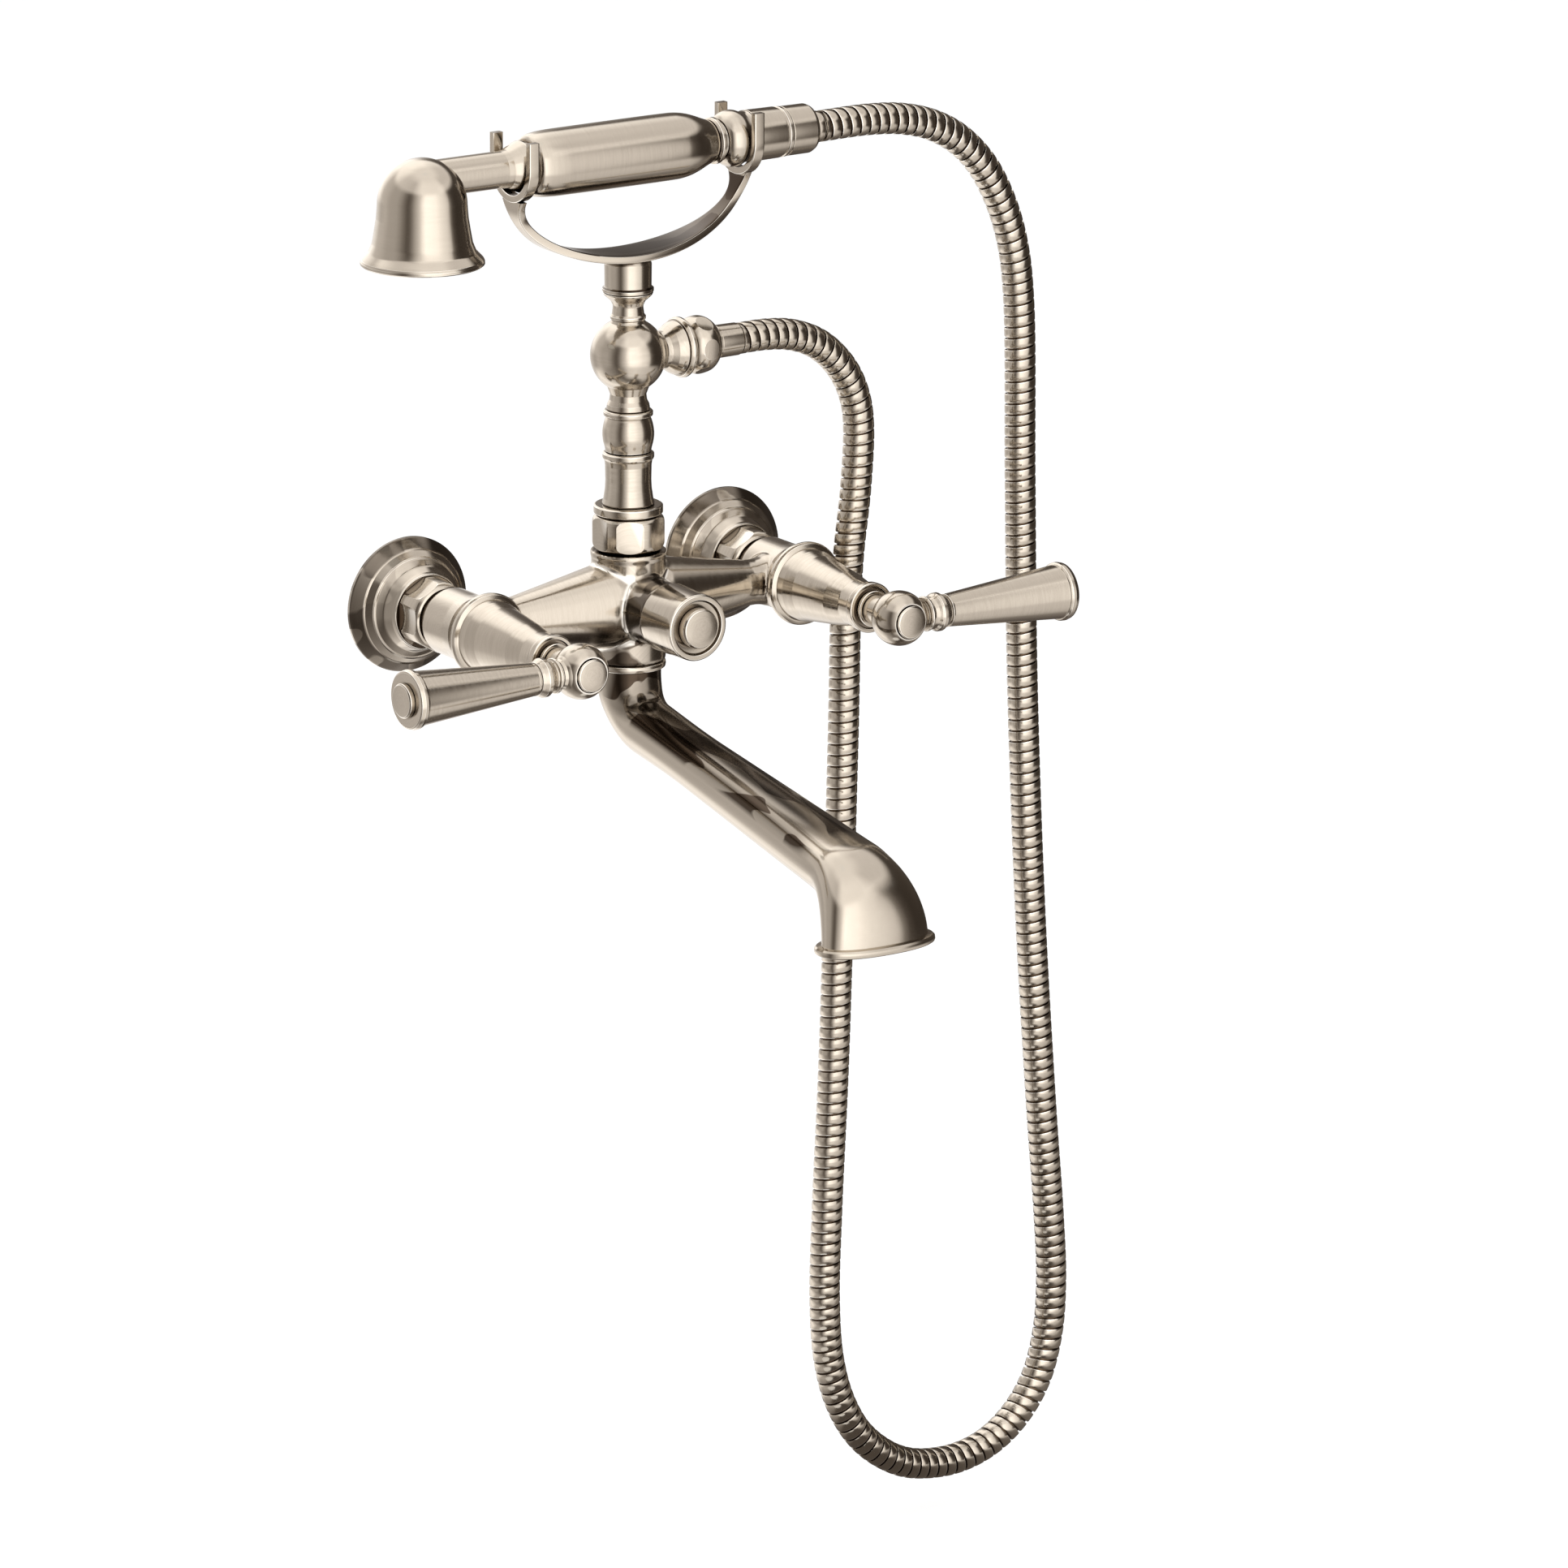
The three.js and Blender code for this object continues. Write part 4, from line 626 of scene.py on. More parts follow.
# ------------------------------------------------------------------------------- bonnets
# Each valve's bonnet is turned from bar: a beaded collar, a long cone, a waist, a rolled ring
# and a stepped nose that the handle's ball turns against.
bonnet_outline = softened([
    (57, 9.7), (57, 11.9), (69.3, 11.9), (69.3, 18.4), (70.0, 19.6, 0.3), (71.2, 20.3, 0.5),
    (72.6, 20.4, 0.5), (73.9, 19.8, 0.4), (74.6, 18.6, 0.3), (74.9, 17.9, 0.2), (79, 17.4, 1),
    (85.3, 16, 4), (107.5, 13.2, 6), (117.5, 11.3, 8), (124.1, 11.2, 1), (125.0, 11.6, 0.4),
    (126.1, 12.2, 0.5), (129.2, 12.2, 0.5), (129.5, 11.6, 0.2), (129.5, 10.2, 0.2),
    (128.3, 10.0, 0.2), (128.3, 8.9), (132.1, 8.8, 0.3), (132.1, 4.8), (112.3, 4.8), (112.3, 9.7)])
bonnet = turned("bonnet_right", bonnet_outline, inlets["right"], steps=128, sharp=24)
paired("bonnet", bonnet, across, inlet_nickel, "faucet", "valve_bonnet")

# ------------------------------------------------------------------------------- handles
# A lever handle: a turned ball with a flat face and a thin plug, and a bar that screws into
# its side, with a collar, a waist, a bead, a long cone that opens out and a rolled end ring.
hub_y = middle_of("handle_lever_right", "y")
hub_station = -hub_y / mm
hub_ball = 13.2
ball_from = acos(-sqrt(1 - (7.8 / hub_ball) ** 2))
ball_to = asin(9 / hub_ball)
ball_outline = [(132.6, 0), (132.6, 6.9), (133.0, 7.2), (141.2, 7.2)]
ball_outline += [(hub_station + hub_ball * cos(ball_from + (ball_to - ball_from) * i / 28),
                  hub_ball * sin(ball_from + (ball_to - ball_from) * i / 28)) for i in range(29)]
ball_outline += [(162.06, 8.4), (161.2, 8.2), (161.2, 0)]
ball = turned("ball", ball_outline, inlets["right"], steps=96, sharp=24)
lever_place = Matrix.Translation((inlet_x, hub_y, 0)) @ rightward
side_neck = turned("side neck", softened([(8, 0), (8, 9.6), (10.0, 8.7), (11.2, 7.4, 0.8),
                                          (12.7, 6.9), (12.7, 0)]), lever_place, steps=72)
hub = joined("handle_ball_right", ball, side_neck)
plug = turned("handle_plug_right", softened([
    (162.36, 0), (162.36, 7.9), (163.2, 7.9, 0.3), (163.6, 7.3, 0.4), (163.86, 5.0), (163.86, 0)]),
    inlets["right"], steps=72)
lever_outline = softened([
    (5.1, 0), (5.1, 4.2), (13, 4.2), (13, 6.8), (13.6, 6.8), (13.9, 7.9, 0.2), (14.6, 8.5, 0.3),
    (15.5, 8.3, 0.3), (15.9, 7.3, 0.2), (16.8, 7.2, 0.6), (18.4, 7.8, 0.8), (19.6, 8.8, 0.5),
    (20.5, 9.3, 0.5), (22.4, 9.3, 0.5), (24.1, 8.3, 0.8), (25.3, 7.8, 0.3), (25.5, 7.3),
    (26.1, 7.3), (26.4, 8.0, 0.2), (27.4, 7.9, 0.4), (90.6, 13.0, 0.4), (91.0, 13.5, 0.3),
    (91.8, 14.1, 0.4), (93.4, 14.2, 0.6), (95.2, 13.7, 0.5), (95.6, 12.9, 0.2), (95.6, 3.3),
    (89.6, 3.3), (89.6, 0)])
lever = turned("lever_right", lever_outline, lever_place, steps=112, sharp=24)
end_cap = turned("lever_cap_right", softened([
    (89.9, 0), (89.9, 3), (95.9, 3), (95.9, 8.2), (97.8, 8.2, 0.4), (98.4, 7.5, 0.5),
    (98.6, 3.0), (98.6, 0)]), lever_place, steps=72)
mirror = Matrix.Scale(-1, 4, (1, 0, 0))
lever_nickel = nickel("lever nickel", Matrix.Translation((0, hub_y, 0)) @ rightward, rough=0.17)
lever_metal = dict.fromkeys(inlets, lever_nickel)
paired("handle_ball", hub, mirror, inlet_nickel, "handle_{}", "handle_hub")
paired("handle_plug", plug, mirror, inlet_nickel, "handle_{}", "hub_cap")
paired("lever", lever, mirror, lever_metal, "handle_{}", "handle_lever")
paired("lever_cap", end_cap, mirror, lever_metal, "handle_{}", "lever_end_cap")

# ------------------------------------------------------------------------------ diverter
# A knob that slides on a brass sleeve: a slightly tapered sleeve of bar with a raised front
# ring and a button pressed into it. It is pulled out to send the water to the hand shower.
knob = turned("knob", softened([
    (35.5, 12.8), (35.5, 16.0), (36.1, 16.7, 0.4), (56.3, 16.15, 0.3), (59.6, 16.1, 0.5),
    (60.1, 15.4, 0.4), (60.1, 13.4, 0.3), (58.6, 12.6, 0.3), (58.5, 9.0), (56.4, 4.3),
    (49.4, 4.3), (49.4, 12.8)]), boss_place, steps=128, sharp=24)
button = turned("button", softened([
    (58.8, 0), (58.8, 9.7), (62.2, 9.7, 0.5), (63.2, 9.0, 0.6), (63.5, 5.0), (63.5, 0)]),
    boss_place, steps=96)
diverter_nickel = nickel("diverter nickel", boss_place)
finish_piece(knob, diverter_nickel, "diverter", "diverter_knob")
finish_piece(button, diverter_nickel, "diverter", "diverter_cap")

# ------------------------------------------------------------------- spout and its collar
# The spout is cast hollow: a round neck below the collar, a flattish run that widens and falls
# a little, and a wide mouth that turns down, with a rolled lip. It swivels on its spigot.
hub_bottom, spout_fall = -27.5, radians(10.3)
spout_top = hub_bottom - 4.2
neck_bend, mouth_bend = 24, 30                     # radii of the centre line
neck_half, mouth_half_width, mouth_half_depth, mouth_square = 15.6, 28.3, 13, 2.3
bend = pi / 2 - spout_fall
straight, neck_length, spout_run, mouth_length = 2.8, neck_bend * bend, 166.8, mouth_bend * bend
run_start = straight + neck_length
run_end = straight + neck_length + spout_run
spout_end = run_end + mouth_length + 3.2


def spout_way(s):
    """The spout's centre line: how far forward and how high it is at s, and its heading."""
    if s <= straight:
        return 0, spout_top - s, pi / 2
    s -= straight
    if s <= neck_length:
        a = s / neck_bend
        return neck_bend * (1 - cos(a)), spout_top - straight - neck_bend * sin(a), pi / 2 - a
    s -= neck_length
    y = neck_bend * (1 - cos(bend))
    z = spout_top - straight - neck_bend * sin(bend)
    on = min(s, spout_run)
    y, z = y + on * cos(spout_fall), z - on * sin(spout_fall)
    if s <= spout_run:
        return y, z, spout_fall
    s -= spout_run
    a = spout_fall + min(s, mouth_length) / mouth_bend
    y += mouth_bend * (sin(a) - sin(spout_fall))
    z -= mouth_bend * (cos(spout_fall) - cos(a))
    return y, z - max(0, s - mouth_length), a


def wrapped(name, around, rows, place):
    """A sheet that is rolled up into a tube: place(u, row) says where each of its points goes.
    The sheet's ends are closed."""
    bpy.ops.object.select_all(action="DESELECT")
    bpy.ops.mesh.primitive_grid_add(x_subdivisions=around, y_subdivisions=rows - 1, size=2)
    piece = bpy.context.object
    piece.name = piece.data.name = name
    for vertex in piece.data.vertices:
        u, v = (vertex.co.x + 1) / 2, (vertex.co.y + 1) / 2
        vertex.co = Vector(place(u, round(v * (rows - 1)))) * mm
    bpy.ops.object.mode_set(mode="EDIT")
    bpy.ops.mesh.select_all(action="SELECT")
    bpy.ops.mesh.remove_doubles(threshold=2e-6)
    bpy.ops.mesh.select_all(action="DESELECT")
    bpy.ops.mesh.select_non_manifold()
    bpy.ops.mesh.edge_face_add()
    bpy.ops.mesh.select_all(action="SELECT")
    bpy.ops.mesh.normals_make_consistent(inside=False)
    bpy.ops.object.mode_set(mode="OBJECT")
    return piece


def rounded(angle, square):
    """A point of an outline between an ellipse, at 2, and a rectangle."""
    return (abs(cos(angle)) ** (2 / square) * (1 if cos(angle) >= 0 else -1),
            abs(sin(angle)) ** (2 / square) * (1 if sin(angle) >= 0 else -1))


# (station, half width, half depth, squareness, swell of the underside)
spout_sizes = [(0, neck_half, neck_half, 2, 0), (straight, neck_half, neck_half, 2, 0)]
spout_sizes += [(straight + neck_length * i / 6, neck_half * k, neck_half * k,
                 2 + 0.4 * (i / 6) ** 2, 0)
                for i, k in ((1, .99), (2, .96), (3, .915), (4, .88), (5, .86), (6, .845))]
spout_sizes += [(run_start + spout_run * i / 5, w, d, q, 0) for i, w, d, q in (
    (1, 13.5, 11.8, 2.6), (2, 14.2, 12, 2.8), (3, 15.4, 12.3, 2.9), (4, 17.2, 12.5, 2.8),
    (5, 19.6, 12.5, 2.6))]
spout_sizes += [(run_end + mouth_length * i / 6, mouth_half_width * k,
                 mouth_half_depth + 0.5 * b, 2.25, 0.5 * b)
                for i, k, b in ((1, .745, .2), (2, .81, .59), (3, .875, .95), (4, .93, .95),
                                (5, .97, .59), (6, .995, 0))]
spout_sizes += [(spout_end, mouth_half_width, mouth_half_depth, mouth_square, 0)]
spout_rows = smooth_line([Vector(size) for size in spout_sizes], 6)


def spout_skin(u, row):
    """A point of the spout's outer skin."""
    s, wide, deep, square, belly = spout_rows[row]
    y, z, heading = spout_way(min(s, spout_end))
    across, up = rounded(2 * pi * u, square)
    up = up * deep - belly
    return across * wide, body_y / mm - (y + sin(heading) * up), z + cos(heading) * up


spout = wrapped("spout_casting", 96, len(spout_rows), spout_skin)
mouth_y, mouth_z, _ = spout_way(spout_end)


def mouth_ring(name, around, rows):
    """A block in the shape of the mouth: each row has its height and how far it stands out."""
    def place(u, row):
        height, out = rows[row]
        across, along = rounded(2 * pi * u, mouth_square)
        return (across * (mouth_half_width + out),
                body_y / mm - mouth_y + along * (mouth_half_depth + out), height)
    return wrapped(name, around, len(rows), place)


lip_rows = ((4.6, -0.4), (4.0, -0.1), (3.9, 0.6), (3.6, 2.2), (2.8, 3.0), (1.4, 3.2), (0.5, 2.9),
            (0, 2.2))
spout = fitted(spout, mouth_ring("lip", 96, [(mouth_z + up, out) for up, out in lip_rows]),
               "UNION")
mouth_rows = ((-1, -2.2), (12, -2.2), (20, -5), (24, -10))
spout = fitted(spout, mouth_ring("mouth", 96, [(mouth_z + up, out) for up, out in mouth_rows]),
               "DIFFERENCE")
spigot = turned("spigot", softened([(spout_top - 2, 7.5), (spout_top - 2, 10), (-23.5, 10),
                                    (-23.5, 8.4), (-21.1, 8.4), (-21.1, 10), (-16.7, 10),
                                    (-16.7, 7.5)]), body_place, steps=64)
spout = joined("spout_casting", spout, spigot)
bpy.ops.object.shade_smooth_by_angle(angle=radians(32))
run_turn = Matrix.Rotation(pi / 2 + spout_fall, 4, "X")
spout_nickel = nickel("spout nickel", Matrix.Translation((0, body_y, -0.06)) @ run_turn,
                      group=brushed_streaks, rough=0.15, depth=0.0005, tone=0.3,
                      corners=False, painted_shade=True)
finish_piece(spout, spout_nickel, "spout", "spout")
# Painted reflection: the top of its run is laid dark brown.
run_y, run_z, _ = spout_way(run_start)
painted_dark = []
for vertex in spout.data.vertices:
    ahead, height = (body_y - vertex.co.y) / mm - run_y, vertex.co.z / mm - run_z
    above = height * cos(spout_fall) + ahead * sin(spout_fall)
    along = ahead * cos(spout_fall) - height * sin(spout_fall)
    on_top = clamped((above - 3) / 5) * clamped((along + 22) / 14)
    painted_dark.append(2 * on_top * clamped((spout_run - 6 - along) / 14))
marked(spout, "painted_shade", painted_dark)

collar = turned("collar_ring", softened([
    (-31.4, 10.5), (-31.4, 17.0), (-30.9, 17.7, 0.4), (-29.6, 17.9, 0.8), (-28.3, 17.7, 0.4),
    (-27.8, 17.0), (-27.8, 10.5)]), body_place, steps=112, sharp=24)
upright_nickel = nickel("upright nickel", body_place)
finish_piece(collar, upright_nickel, "faucet", "spout_collar")

# The outlet plate in the mouth: a pressed steel plate, pierced with rows of holes.
flow = mouth_ring("outlet_plate", 64, [(-117.75, -2.5), (-115.35, -2.5)])
bpy.ops.object.select_all(action="DESELECT")
bpy.ops.mesh.primitive_cylinder_add(vertices=12, radius=0.9 * mm, depth=8 * mm)
punches = bpy.context.object
for count, step in ((17, (2.8 * mm, 0, 0)), (5, (0, 3.0 * mm, 0))):
    applied(punches, "ARRAY", count=count, use_relative_offset=False, use_constant_offset=True,
            constant_offset_displace=step)
punches.data.transform(Matrix.Translation((-22.4 * mm, body_y - (mouth_y + 6) * mm, -0.1165)))
flow = fitted(flow, punches, "DIFFERENCE")
steel = nickel("outlet steel", body_place, rough=0.28)
finish_piece(flow, steel, "spout", "flow_plate", slot="steel")

# --------------------------------------------------------------------------------- riser
# The riser is screwed together on one axis: a hexagon nut, a thin collar, a waisted column,
# a baluster, and a ball with an outlet at its side for the hose.
riser_nut = hex_nut("riser_hexagon", [(26.3, 13.3)] + [(26.3 + s, r) for s, r in nut_rise]
                    + [(43.7 - s, r) for s, r in reversed(nut_rise)]
                    + [(43.7, 11.1), (38.5, 11.1), (38.5, 13.3)], nut_flats, body_place)
riser_collar = turned("riser_ring", softened([
    (44, 11.1), (44, 16.1), (44.5, 16.6, 0.3), (47.8, 16.6, 0.4), (48.3, 15.8, 0.2),
    (48.3, 11.1)]), body_place, sharp=24)
column = turned("riser_waist", softened([
    (35.6, 7.5), (35.6, 13), (38.2, 13), (38.2, 10.8), (48.6, 10.8), (48.6, 12.3), (49.1, 12.5),
    (51.3, 11.9, 2), (56.15, 11.2, 4), (60.15, 11, 6), (67.4, 11.15, 3), (70.2, 11.5, 0.6),
    (70.7, 12.1, 0.3), (71.4, 12.4, 0.3), (73.2, 12.4, 0.4), (73.8, 11.6, 0.3), (74, 11),
    (74, 7.5)]), body_place, sharp=24)


def curved(points):
    """A smooth outline through a few (station, radius) points."""
    return [tuple(p) for p in smooth_line([Vector(p) for p in points], 5)]


bulge = [(74.3 + share * 16.7, 10.7 + 1.7 * sin(pi * share))
         for share in (0.12, 0.3, 0.5, 0.7, 0.9)]
baluster = turned("riser_vase", softened(
    [(64.3, 4.8), (64.3, 7.2), (74.3, 7.2), (74.3, 10.8)]
    + curved([(74.5, 11.0)] + bulge + [(91.0, 10.5)])
    + [(91.3, 11.0, 0.2), (91.8, 11.8, 0.3), (93.5, 11.9, 0.4), (94.2, 11.3, 0.3), (94.4, 10.8),
       (94.4, 4.8)]), body_place, sharp=24)
for piece, node in ((riser_nut, "riser_nut"), (riser_collar, "riser_collar"),
                    (column, "riser_column"), (baluster, "riser_baluster")):
    finish_piece(piece, upright_nickel, "faucet", node)
ball_z, tee_radius = 120.8, 18.1
low_turn, high_turn = pi - asin(9.2 / tee_radius), asin(7.6 / tee_radius)
round_ball = [(ball_z + tee_radius * cos(low_turn + (high_turn - low_turn) * i / 36),
               tee_radius * sin(low_turn + (high_turn - low_turn) * i / 36))
              for i in range(1, 36)]
tee_outline = softened(
    [(94.7, 0), (94.7, 10.2), (95.0, 10.4), (97.1, 10.1, 0.8), (99.3, 9.0, 1.4), (102.0, 8.7, 1.2)]
    + round_ball
    + [(138.0, 7.9, 0.4), (138.7, 8.5, 0.3), (139.9, 8.5, 0.4), (140.9, 7.7, 0.5), (144.9, 7.2, 3),
       (147.4, 8.4, 2), (149.6, 10.9, 1), (150.4, 11.6, 0.3), (151.2, 12.0, 0.2), (151.4, 11.8),
       (151.4, 0)])
tee_ball = turned("ball", tee_outline, body_place, steps=128, sharp=24)
tee_place = Matrix.Translation((0, body_y, ball_z * mm)) @ rightward
outlet = turned("outlet", softened([
    (6, 0), (6, 12), (13.6, 11.9), (15.4, 9.7, 1.2), (17.4, 8.6, 1.4), (19.6, 9.1, 1),
    (22.3, 11.2, 2), (24.5, 12.5, 2), (26.5, 13.3, 0.3), (26.8, 12.7), (27.1, 12.7),
    (27.3, 13.8, 0.3), (28.6, 14.6, 0.6), (29.8, 14.6, 0.5), (30.7, 13.9, 0.3), (30.9, 12.6),
    (30.9, 9.8), (43.4, 9.8), (43.4, 6.5), (23.4, 6.5), (23.4, 0)]), tee_place, sharp=24)
tee = joined("tee", tee_ball, outlet)
finish_piece(tee, upright_nickel, "faucet", "ball_tee")
valve_end_nickel = nickel("hose end nickel", tee_place)
# The hose nut is a squat barrel with six small flats, and the ferrule behind it is crimped.
barrel_long, barrel_round = 15.5, 9.7
barrel_curve = [(31.3 + barrel_long * i / 16,
                 4.4 + sqrt(barrel_round ** 2 - (barrel_long / 2 - barrel_long * i / 16) ** 2))
                for i in range(17)]
valve_nut = hex_nut("hose_hexagon", [(31.3, 10.1)] + barrel_curve
                    + [(46.8, 8.3), (45.2, 8.3), (45.2, 10.1)], 26.3, tee_place, turn=pi / 2)
finish_piece(valve_nut, valve_end_nickel, "faucet", "hose_nut_valve")
ferrule = turned("hose_ferrule", softened([
    (43.6, 4.2), (43.6, 9.6), (45.1, 9.6), (45.1, 8.0), (48.6, 8.0), (48.9, 7.8), (49.3, 7.8),
    (49.6, 8.0), (61.2, 7.9, 0.3), (61.9, 7.3), (61.9, 4.2)]), tee_place, steps=72, sharp=24)
finish_piece(ferrule, valve_end_nickel, "faucet", "hose_ferrule_valve")

# -------------------------------------------------------------------------------- cradle
# The cradle is one forging: a foot with a rolled edge, a strap that curves up to both sides
# and thins out, and a fork at each end. The shower lies in the forks.
cradle_level, strap_thick, half_width, cradle_depth = 203, 4, 61.4, 31.6
shower_z = shower_height / mm
centre_y = body_y / mm


def strap_place(u, row):
    angle = pi * row / 120
    depth = sin(angle)
    width = 6.5 + 17.5 * depth ** 3 + 10 * max(0, 1 - depth / 0.45) ** 2
    radial = Vector((-cos(angle) / half_width, -depth / cradle_depth)).normalized()
    middle = Vector((-half_width * cos(angle), cradle_level - cradle_depth * depth))
    middle += radial * strap_thick / 2
    side, thick = rounded(2 * pi * u, 9)
    middle += radial * thick * strap_thick / 2
    return middle.x, centre_y + side * width / 2, middle.y


strap = wrapped("strap", 40, 121, strap_place)


def fork(offset, held):
    """A fork of flat bar, 5.5 mm wide, that holds a round of the given radius."""
    level = shower_z - held - 0.3 + 14
    top = shower_z + 14.3
    way = [(-15.8, top - (top - level) * i / 8, (-1, 0)) for i in range(8)]
    way += [(15.8 * cos(pi + pi * i / 32), level + 15.8 * sin(pi + pi * i / 32),
             (cos(pi + pi * i / 32), sin(pi + pi * i / 32))) for i in range(33)]
    way += [(15.8, level + (top - level) * i / 8, (1, 0)) for i in range(1, 9)]

    def place(u, row):
        y, z, (out_y, out_z) = way[row]
        side, thick = rounded(2 * pi * u, 9)
        return (offset + side * 2.75, centre_y + y + out_y * thick * 1.8, z + out_z * thick * 1.8)
    return wrapped("fork", 40, len(way), place)


foot = turned("foot", softened([
    (151.7, 3.3), (151.7, 11.8), (152.2, 12.3, 0.2), (153.5, 12.3, 0.3), (154.1, 11.5, 0.2),
    (154.5, 11.2, 0.2), (165.4, 11.3, 2), (169.4, 9.7), (169.4, 0), (162.7, 0), (162.7, 3.3)]),
    body_place)
cradle = joined("cradle_forging", strap, fork(-63.3, 12.5), fork(63.3, 13.7), foot)
bpy.ops.object.shade_smooth_by_angle(angle=radians(28))
cradle_nickel = nickel("cradle nickel", body_place @ rightward, group=brushed_streaks,
                       depth=0.003, tone=0.6, painted_shade=True)
finish_piece(cradle, cradle_nickel, "faucet", "cradle")
# Painted shade on the strap's hollow side.
strap_shade = []
for vertex in cradle.data.vertices:
    x, z = vertex.co.x / mm, vertex.co.z / mm - cradle_level
    inward = Vector((-x / half_width ** 2, -z / cradle_depth ** 2)).normalized()
    inner = inward.dot(Vector((vertex.normal.x, vertex.normal.z)))
    strap_shade.append(3 * clamped((inner - 0.4) / 0.3) if z < -2 else 0.0)
marked(cradle, "painted_shade", strap_shade)

# --------------------------------------------------------------------------- hand shower
# The shower's neck is one tube with a collar. A grip, a ferrule, a bead and a connector slide
# over it and are held by the hose nut. The bell is turned, and its rim holds the spray plate.
shower_place = Matrix.Translation((0, body_y, shower_height)) @ rightward
shower_nickel = nickel("shower nickel", shower_place, depth=0.004, tone=0.6)
bell_x = middle_of("shower_bell", "x")
bell_place = Matrix.Translation((bell_x, body_y, 0))


def crown(radius, steps):
    """The top of the bell, from the axis down: a quarter of a slightly narrow ball."""
    return [(207.2 + radius * cos(pi / 2 * i / steps), radius * 0.965 * sin(pi / 2 * i / steps))
            for i in range(steps + 1)]


bell_outline = softened(crown(22, 24) + [
    (201, 21.7, 6), (195.2, 22.6, 8), (189, 23.7, 6), (185, 25.3, 3), (182.6, 27.6, 1.4),
    (181.4, 28.7, 0.4), (180.4, 29.2, 0.3), (179.2, 29.3, 0.3), (178.6, 28.6, 0.2),
    (178.6, 25.9), (181.6, 25.9), (183.6, 24.4), (195.2, 20.8)] + crown(20.2, 12)[::-1])
bell = turned("bell", bell_outline, bell_place, steps=128, sharp=28)
bell_nickel = nickel("bell nickel", bell_place, depth=0.003, tone=0.4)
finish_piece(bell, bell_nickel, "hand_shower", "shower_bell")
neck = turned("shower_tube", softened([
    (-109, 4.6), (-109, 8.8), (-71.5, 8.8, 2), (-68.2, 9.2, 3), (-64, 11.1, 3), (-61.4, 12.2, 1),
    (-60.4, 12.5, 0.4), (-58.6, 12.4, 0.4), (-57.4, 11.2, 0.4), (-57, 10.1), (-57, 7), (85.4, 7),
    (85.4, 4.6)]), shower_place)
grip = turned("grip", [(-56.7, 7.3), (-56.7, 12.6)] + curved([
    (-56.5, 13.0), (-55.6, 14.0), (-54.0, 14.8), (-51.0, 15.4), (-45.0, 15.85), (-36.0, 15.95),
    (22.0, 15.95), (27.0, 15.75), (32.0, 14.95), (37.0, 13.4), (41.5, 11.6), (45.4, 10.2)])
    + [(46, 9.8), (46, 7.3)], shower_place, steps=120)
shower_ferrule = turned("shower_ring", softened([
    (46.3, 7.3), (46.3, 10.2), (47.2, 11.2, 0.3), (48.9, 11.2, 0.3), (49.6, 9.8, 0.3),
    (50.2, 9.4), (51.1, 9.4), (51.1, 7.3)]), shower_place, sharp=24)
bead = turned("shower_bulb", softened([(51.4, 7.3)] + curved([
    (51.4, 10.0), (52.7, 11.6), (55.2, 13.1), (57.8, 13.65), (60.3, 13.35), (62.4, 12.55),
    (64.3, 12.05)]) + [(65.6, 12.2, 0.6), (66.6, 12.5, 0.3), (67, 12.2), (67, 7.3)]),
    shower_place, sharp=24)
connector = turned("shower_sleeve", softened([
    (67.3, 7.3), (67.3, 12.3), (67.6, 12.5), (83.3, 12.3, 0.3), (83.8, 11.7, 0.2),
    (84.6, 11.7, 0.2), (85.1, 12.2, 0.3), (86.8, 12.1), (87.0, 11.8), (87.0, 9.3), (96.3, 9.3),
    (96.3, 4.6), (85.7, 4.6), (85.7, 7.3)]), shower_place, sharp=24)
shower_nut = turned("shower_nut", softened([
    (87.3, 9.6), (87.3, 11.8), (87.6, 12.0), (100.6, 11.9, 1.0), (102.4, 11.0, 0.7),
    (102.9, 9.2, 0.3), (102.9, 6.3), (103.5, 6.3), (103.6, 7.45), (104.0, 7.62), (107.4, 7.62),
    (108.1, 7.4), (108.2, 6.3), (109, 6.3), (109, 4.9), (98.6, 4.9), (98.6, 9.6)]),
    shower_place, sharp=24)
for piece, *nodes in ((neck, "shower_neck"), (grip, "shower_grip"),
                      (shower_ferrule, "shower_ferrule"), (bead, "shower_bead"),
                      (connector, "shower_connector"),
                      (shower_nut, "hose_nut_shower", "hose_tail_shower")):
    finish_piece(piece, shower_nickel, "hand_shower", *nodes)

# Spray plate: moulded nylon with rings of soft nozzles, let into the rim of the bell.
plate_face = turned("spray_face", softened([
    (179.1, 0), (179.1, 24.9), (179.5, 25.4, 0.2), (181.4, 25.6), (181.4, 0)]), bell_place)
bpy.ops.object.select_all(action="DESELECT")
nozzle = turned("nozzle", [(178.75, 0), (178.75, 0.7), (179.4, 1.1), (179.4, 0)], bell_place,
                steps=8)
nozzles = [nozzle]
for ring_radius, count in ((6, 6), (11, 12), (16, 18), (21, 24)):
    for i in range(count):
        turn = 2 * pi * i / count
        nozzles.append(copied(nozzle, "nozzle", Matrix.Translation(
            (ring_radius * cos(turn) * mm, ring_radius * sin(turn) * mm, 0))))
nylon = speckled("spray nylon", (0.66, 0.65, 0.62), (0.72, 0.71, 0.68), 0, 0.5, scale=900.0,
                 detail=2.0, relief=0.2)
finish_piece(joined("spray_face", plate_face, *nozzles), nylon, "hand_shower", "spray_plate",
             slot="nylon")

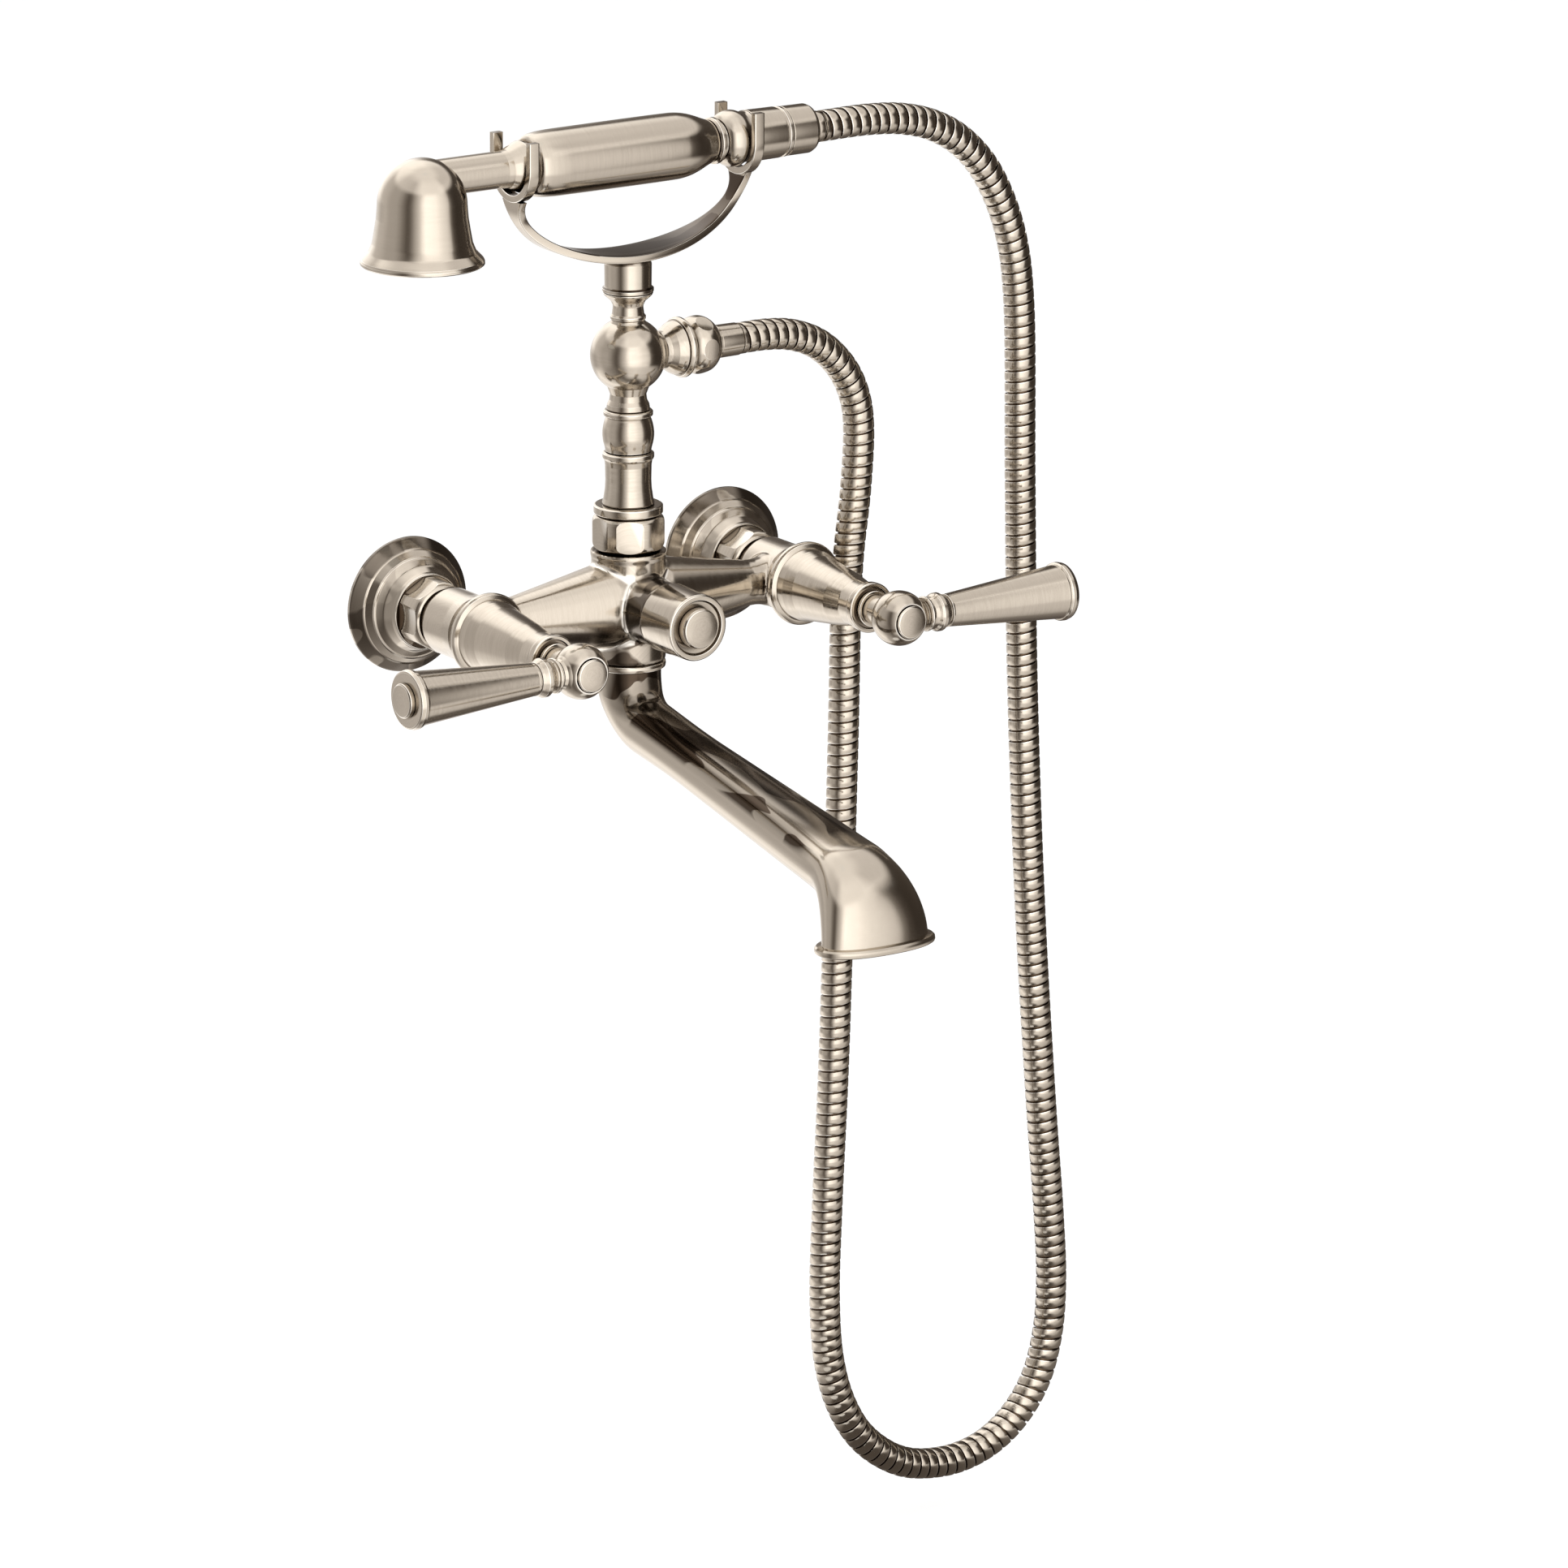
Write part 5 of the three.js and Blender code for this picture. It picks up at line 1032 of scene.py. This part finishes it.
# ---------------------------------------------------------------------- the hidden parts
# Washers, cartridges, stems, screws and the check valve sit inside the pieces above. They keep
# their turned shapes and get machined brass, steel, rubber or nylon.
machined_steel = speckled("machined steel", (0.34, 0.34, 0.34), (0.46, 0.46, 0.45), 1, 0.32)
rubber = speckled("washer rubber", (0.012, 0.012, 0.013), (0.03, 0.03, 0.03), 0, 0.75)
inner_fit = {
    bare_brass: ("valve_cartridge_left", "valve_cartridge_right", "valve_stem_left",
                 "valve_stem_right", "diverter_sleeve", "diverter_stem"),
    machined_steel: ("handle_screw_left", "handle_screw_right", "cradle_stud"),
    rubber: ("inlet_washer_left", "inlet_washer_right", "diverter_seal", "spout_o_ring",
             "riser_washer", "hose_washer_shower", "hose_washer_valve"),
    nylon: ("check_valve",)}
for material, nodes in inner_fit.items():
    for node in nodes:
        part = bpy.data.objects[node]
        part.data.materials.clear()
        part.data.materials.append(material)

# --------------------------------------------------------------------------------- stage
# A plain pale floor below the hose, a white surround, a dome of light and soft lamps.
floor_z = cad_low.z - 0.02
bpy.ops.object.select_all(action="DESELECT")
bpy.ops.mesh.primitive_plane_add(size=60, location=(0, 0, floor_z))
floor = bpy.context.object
floor.name = "floor"
paper, _, _ = blank("floor paper", {"Base Color": (0.9, 0.9, 0.9, 1), "Roughness": 0.9,
                                    "Emission Color": (1, 1, 1, 1), "Emission Strength": 0.55})
floor.data.materials.append(paper)

# What the metal mirrors is a dome with soft fields of light painted inside it: a list of
# turns from +Y over +X with their brightness, for each height. Nothing else sees it.
middle = Vector((0, hub_y, 0.05))
dome_radius = 1.5
level_ring = [(0, 0.88), (14, 1.0), (29, 1.1), (34, 0.6), (38, 0.07), (118, 0.06), (130, 0.10),
              (138, 0.3), (143, 1.0), (152, 1.35), (166, 1.6), (182, 2.0), (198, 2.15), (208, 2.1),
              (215, 1.75), (223, 1.15), (232, 0.8), (240, 0.45), (247, 0.2), (254, 0.15),
              (263, 0.3), (272, 0.5), (282, 0.65), (302, 0.68), (316, 0.83), (334, 0.66),
              (360, 0.88)]
raised_ring = [(0, 1.8), (18, 1.7), (23, 1.1), (27, 0.5), (32, 0.2), (38, 0.12)] + (
    level_ring[5:-2] + [(336, 0.95), (348, 1.5), (360, 1.8)])
upper_ring = [(0, 2.0), (24, 1.9), (40, 1.5), (60, 1.1), (130, 1.0), (150, 1.5), (222, 1.6),
              (250, 0.9), (300, 1.1), (326, 1.7), (360, 2.0)]
sunk_ring = [(0, 1.4), (22, 1.3), (30, 0.7), (36, 0.12), (60, 0.15), (95, 0.35), (110, 0.75),
             (130, 0.95), (142, 1.0), (160, 1.1), (190, 1.3), (215, 1.2), (235, 0.5),
             (250, 0.15), (264, 0.3), (300, 0.6), (320, 1.1), (345, 1.7), (360, 1.4)]
lower_ring = [(0, 0.7), (30, 0.4), (45, 0.12), (135, 0.1), (165, 0.2), (200, 0.35),
              (245, 0.25), (300, 0.6), (360, 0.7)]


def between(stops, at):
    """The value at a place in a list of stops, in a straight line between its neighbours."""
    for (low, value), (high, next_value) in zip(stops, stops[1:]):
        if at <= high:
            return value + (next_value - value) * max(0, at - low) / (high - low)
    return stops[-1][1]


bpy.ops.object.select_all(action="DESELECT")
bpy.ops.mesh.primitive_grid_add(x_subdivisions=180, y_subdivisions=80, size=2)
dome = bpy.context.object
dome.name = "dome"
seen_light = dome.data.attributes.new("light", "FLOAT_COLOR", "POINT")
for vertex in dome.data.vertices:
    turn, rise = 180 + 180 * vertex.co.x, 2 + 84 * vertex.co.y
    away = Vector((sin(radians(turn)) * cos(radians(rise)),
                   cos(radians(turn)) * cos(radians(rise)), sin(radians(rise))))
    reach = dome_radius
    if away.z < 0:
        reach = min(reach, (middle.z - floor_z - 0.002) / -away.z)
    vertex.co = middle + reach * away
    lower, sunk, level, raised, upper = (
        between(ring, turn) for ring in
        (lower_ring, sunk_ring, level_ring, raised_ring, upper_ring))
    light = between([(-90, lower), (-71, lower), (-61, sunk), (-28, sunk), (-20, level),
                     (-6, level), (4, raised), (34, raised), (42, upper), (60, upper),
                     (75, 1.4), (90, 1.4)], rise)
    warm = 1 / (1 + light / 0.15)
    seen_light.data[vertex.index].color = (light, light * (1 - 0.28 * warm),
                                           light * (1 - 0.49 * warm), 1)
glow = bpy.data.materials.new("dome")
glow.use_nodes = True
glow.node_tree.nodes.clear()
painted = add(glow.node_tree, "ShaderNodeAttribute", attribute_name="light")
light = add(glow.node_tree, "ShaderNodeEmission", [("Color", painted.outputs["Color"])])
add(glow.node_tree, "ShaderNodeOutputMaterial", [(0, light.outputs[0])])
dome.data.materials.append(glow)
for kind in ("camera", "shadow", "diffuse", "volume_scatter", "transmission"):
    setattr(dome, f"visible_{kind}", False)


def lamp(name, place, size, power):
    """A white oblong lamp that points at the middle of the object."""
    data = bpy.data.lights.new(name, "AREA")
    data.shape = "RECTANGLE"
    data.size, data.size_y = size
    data.energy = power
    one = bpy.data.objects.new(name, data)
    bpy.context.collection.objects.link(one)
    one.location = place
    one.rotation_euler = (middle - Vector(place)).to_track_quat("-Z", "Y").to_euler()


lamp("front lamp", (0.6, -2.6, 1.2), (1.6, 1.6), 4)
lamp("left strip", (-1.25, -2.1, 0.45), (0.16, 1.3), 3.4)
lamp("line lamp", (1.1, -1.2, 1.4), (1.2, 0.07), 2.4)
lamp("back strip", (0.35, 1.9, 1.15), (0.9, 0.16), 2.6)
lamp("top lamp", (-0.4, -0.6, 2.6), (2.0, 2.0), 4)

world = bpy.data.worlds.new("surround")
bpy.context.scene.world = world
world.use_nodes = True
tree = world.node_tree
tree.nodes.clear()
ray = tree.nodes.new("ShaderNodeLightPath")
seen = summed(tree, "MAXIMUM", ray.outputs["Is Camera Ray"], ray.outputs["Is Glossy Ray"])
seen = summed(tree, "MAXIMUM", seen, ray.outputs["Is Transmission Ray"])
sky = add(tree, "ShaderNodeBackground", [("Color", (1, 1, 1, 1)),
                                         ("Strength", ranged(tree, seen, 0.0, 1.0, 0.48, 1.0))])
end = tree.nodes.new("ShaderNodeOutputWorld")
tree.links.new(sky.outputs[0], end.inputs[0])

bpy.context.scene.view_settings.view_transform = "Standard"
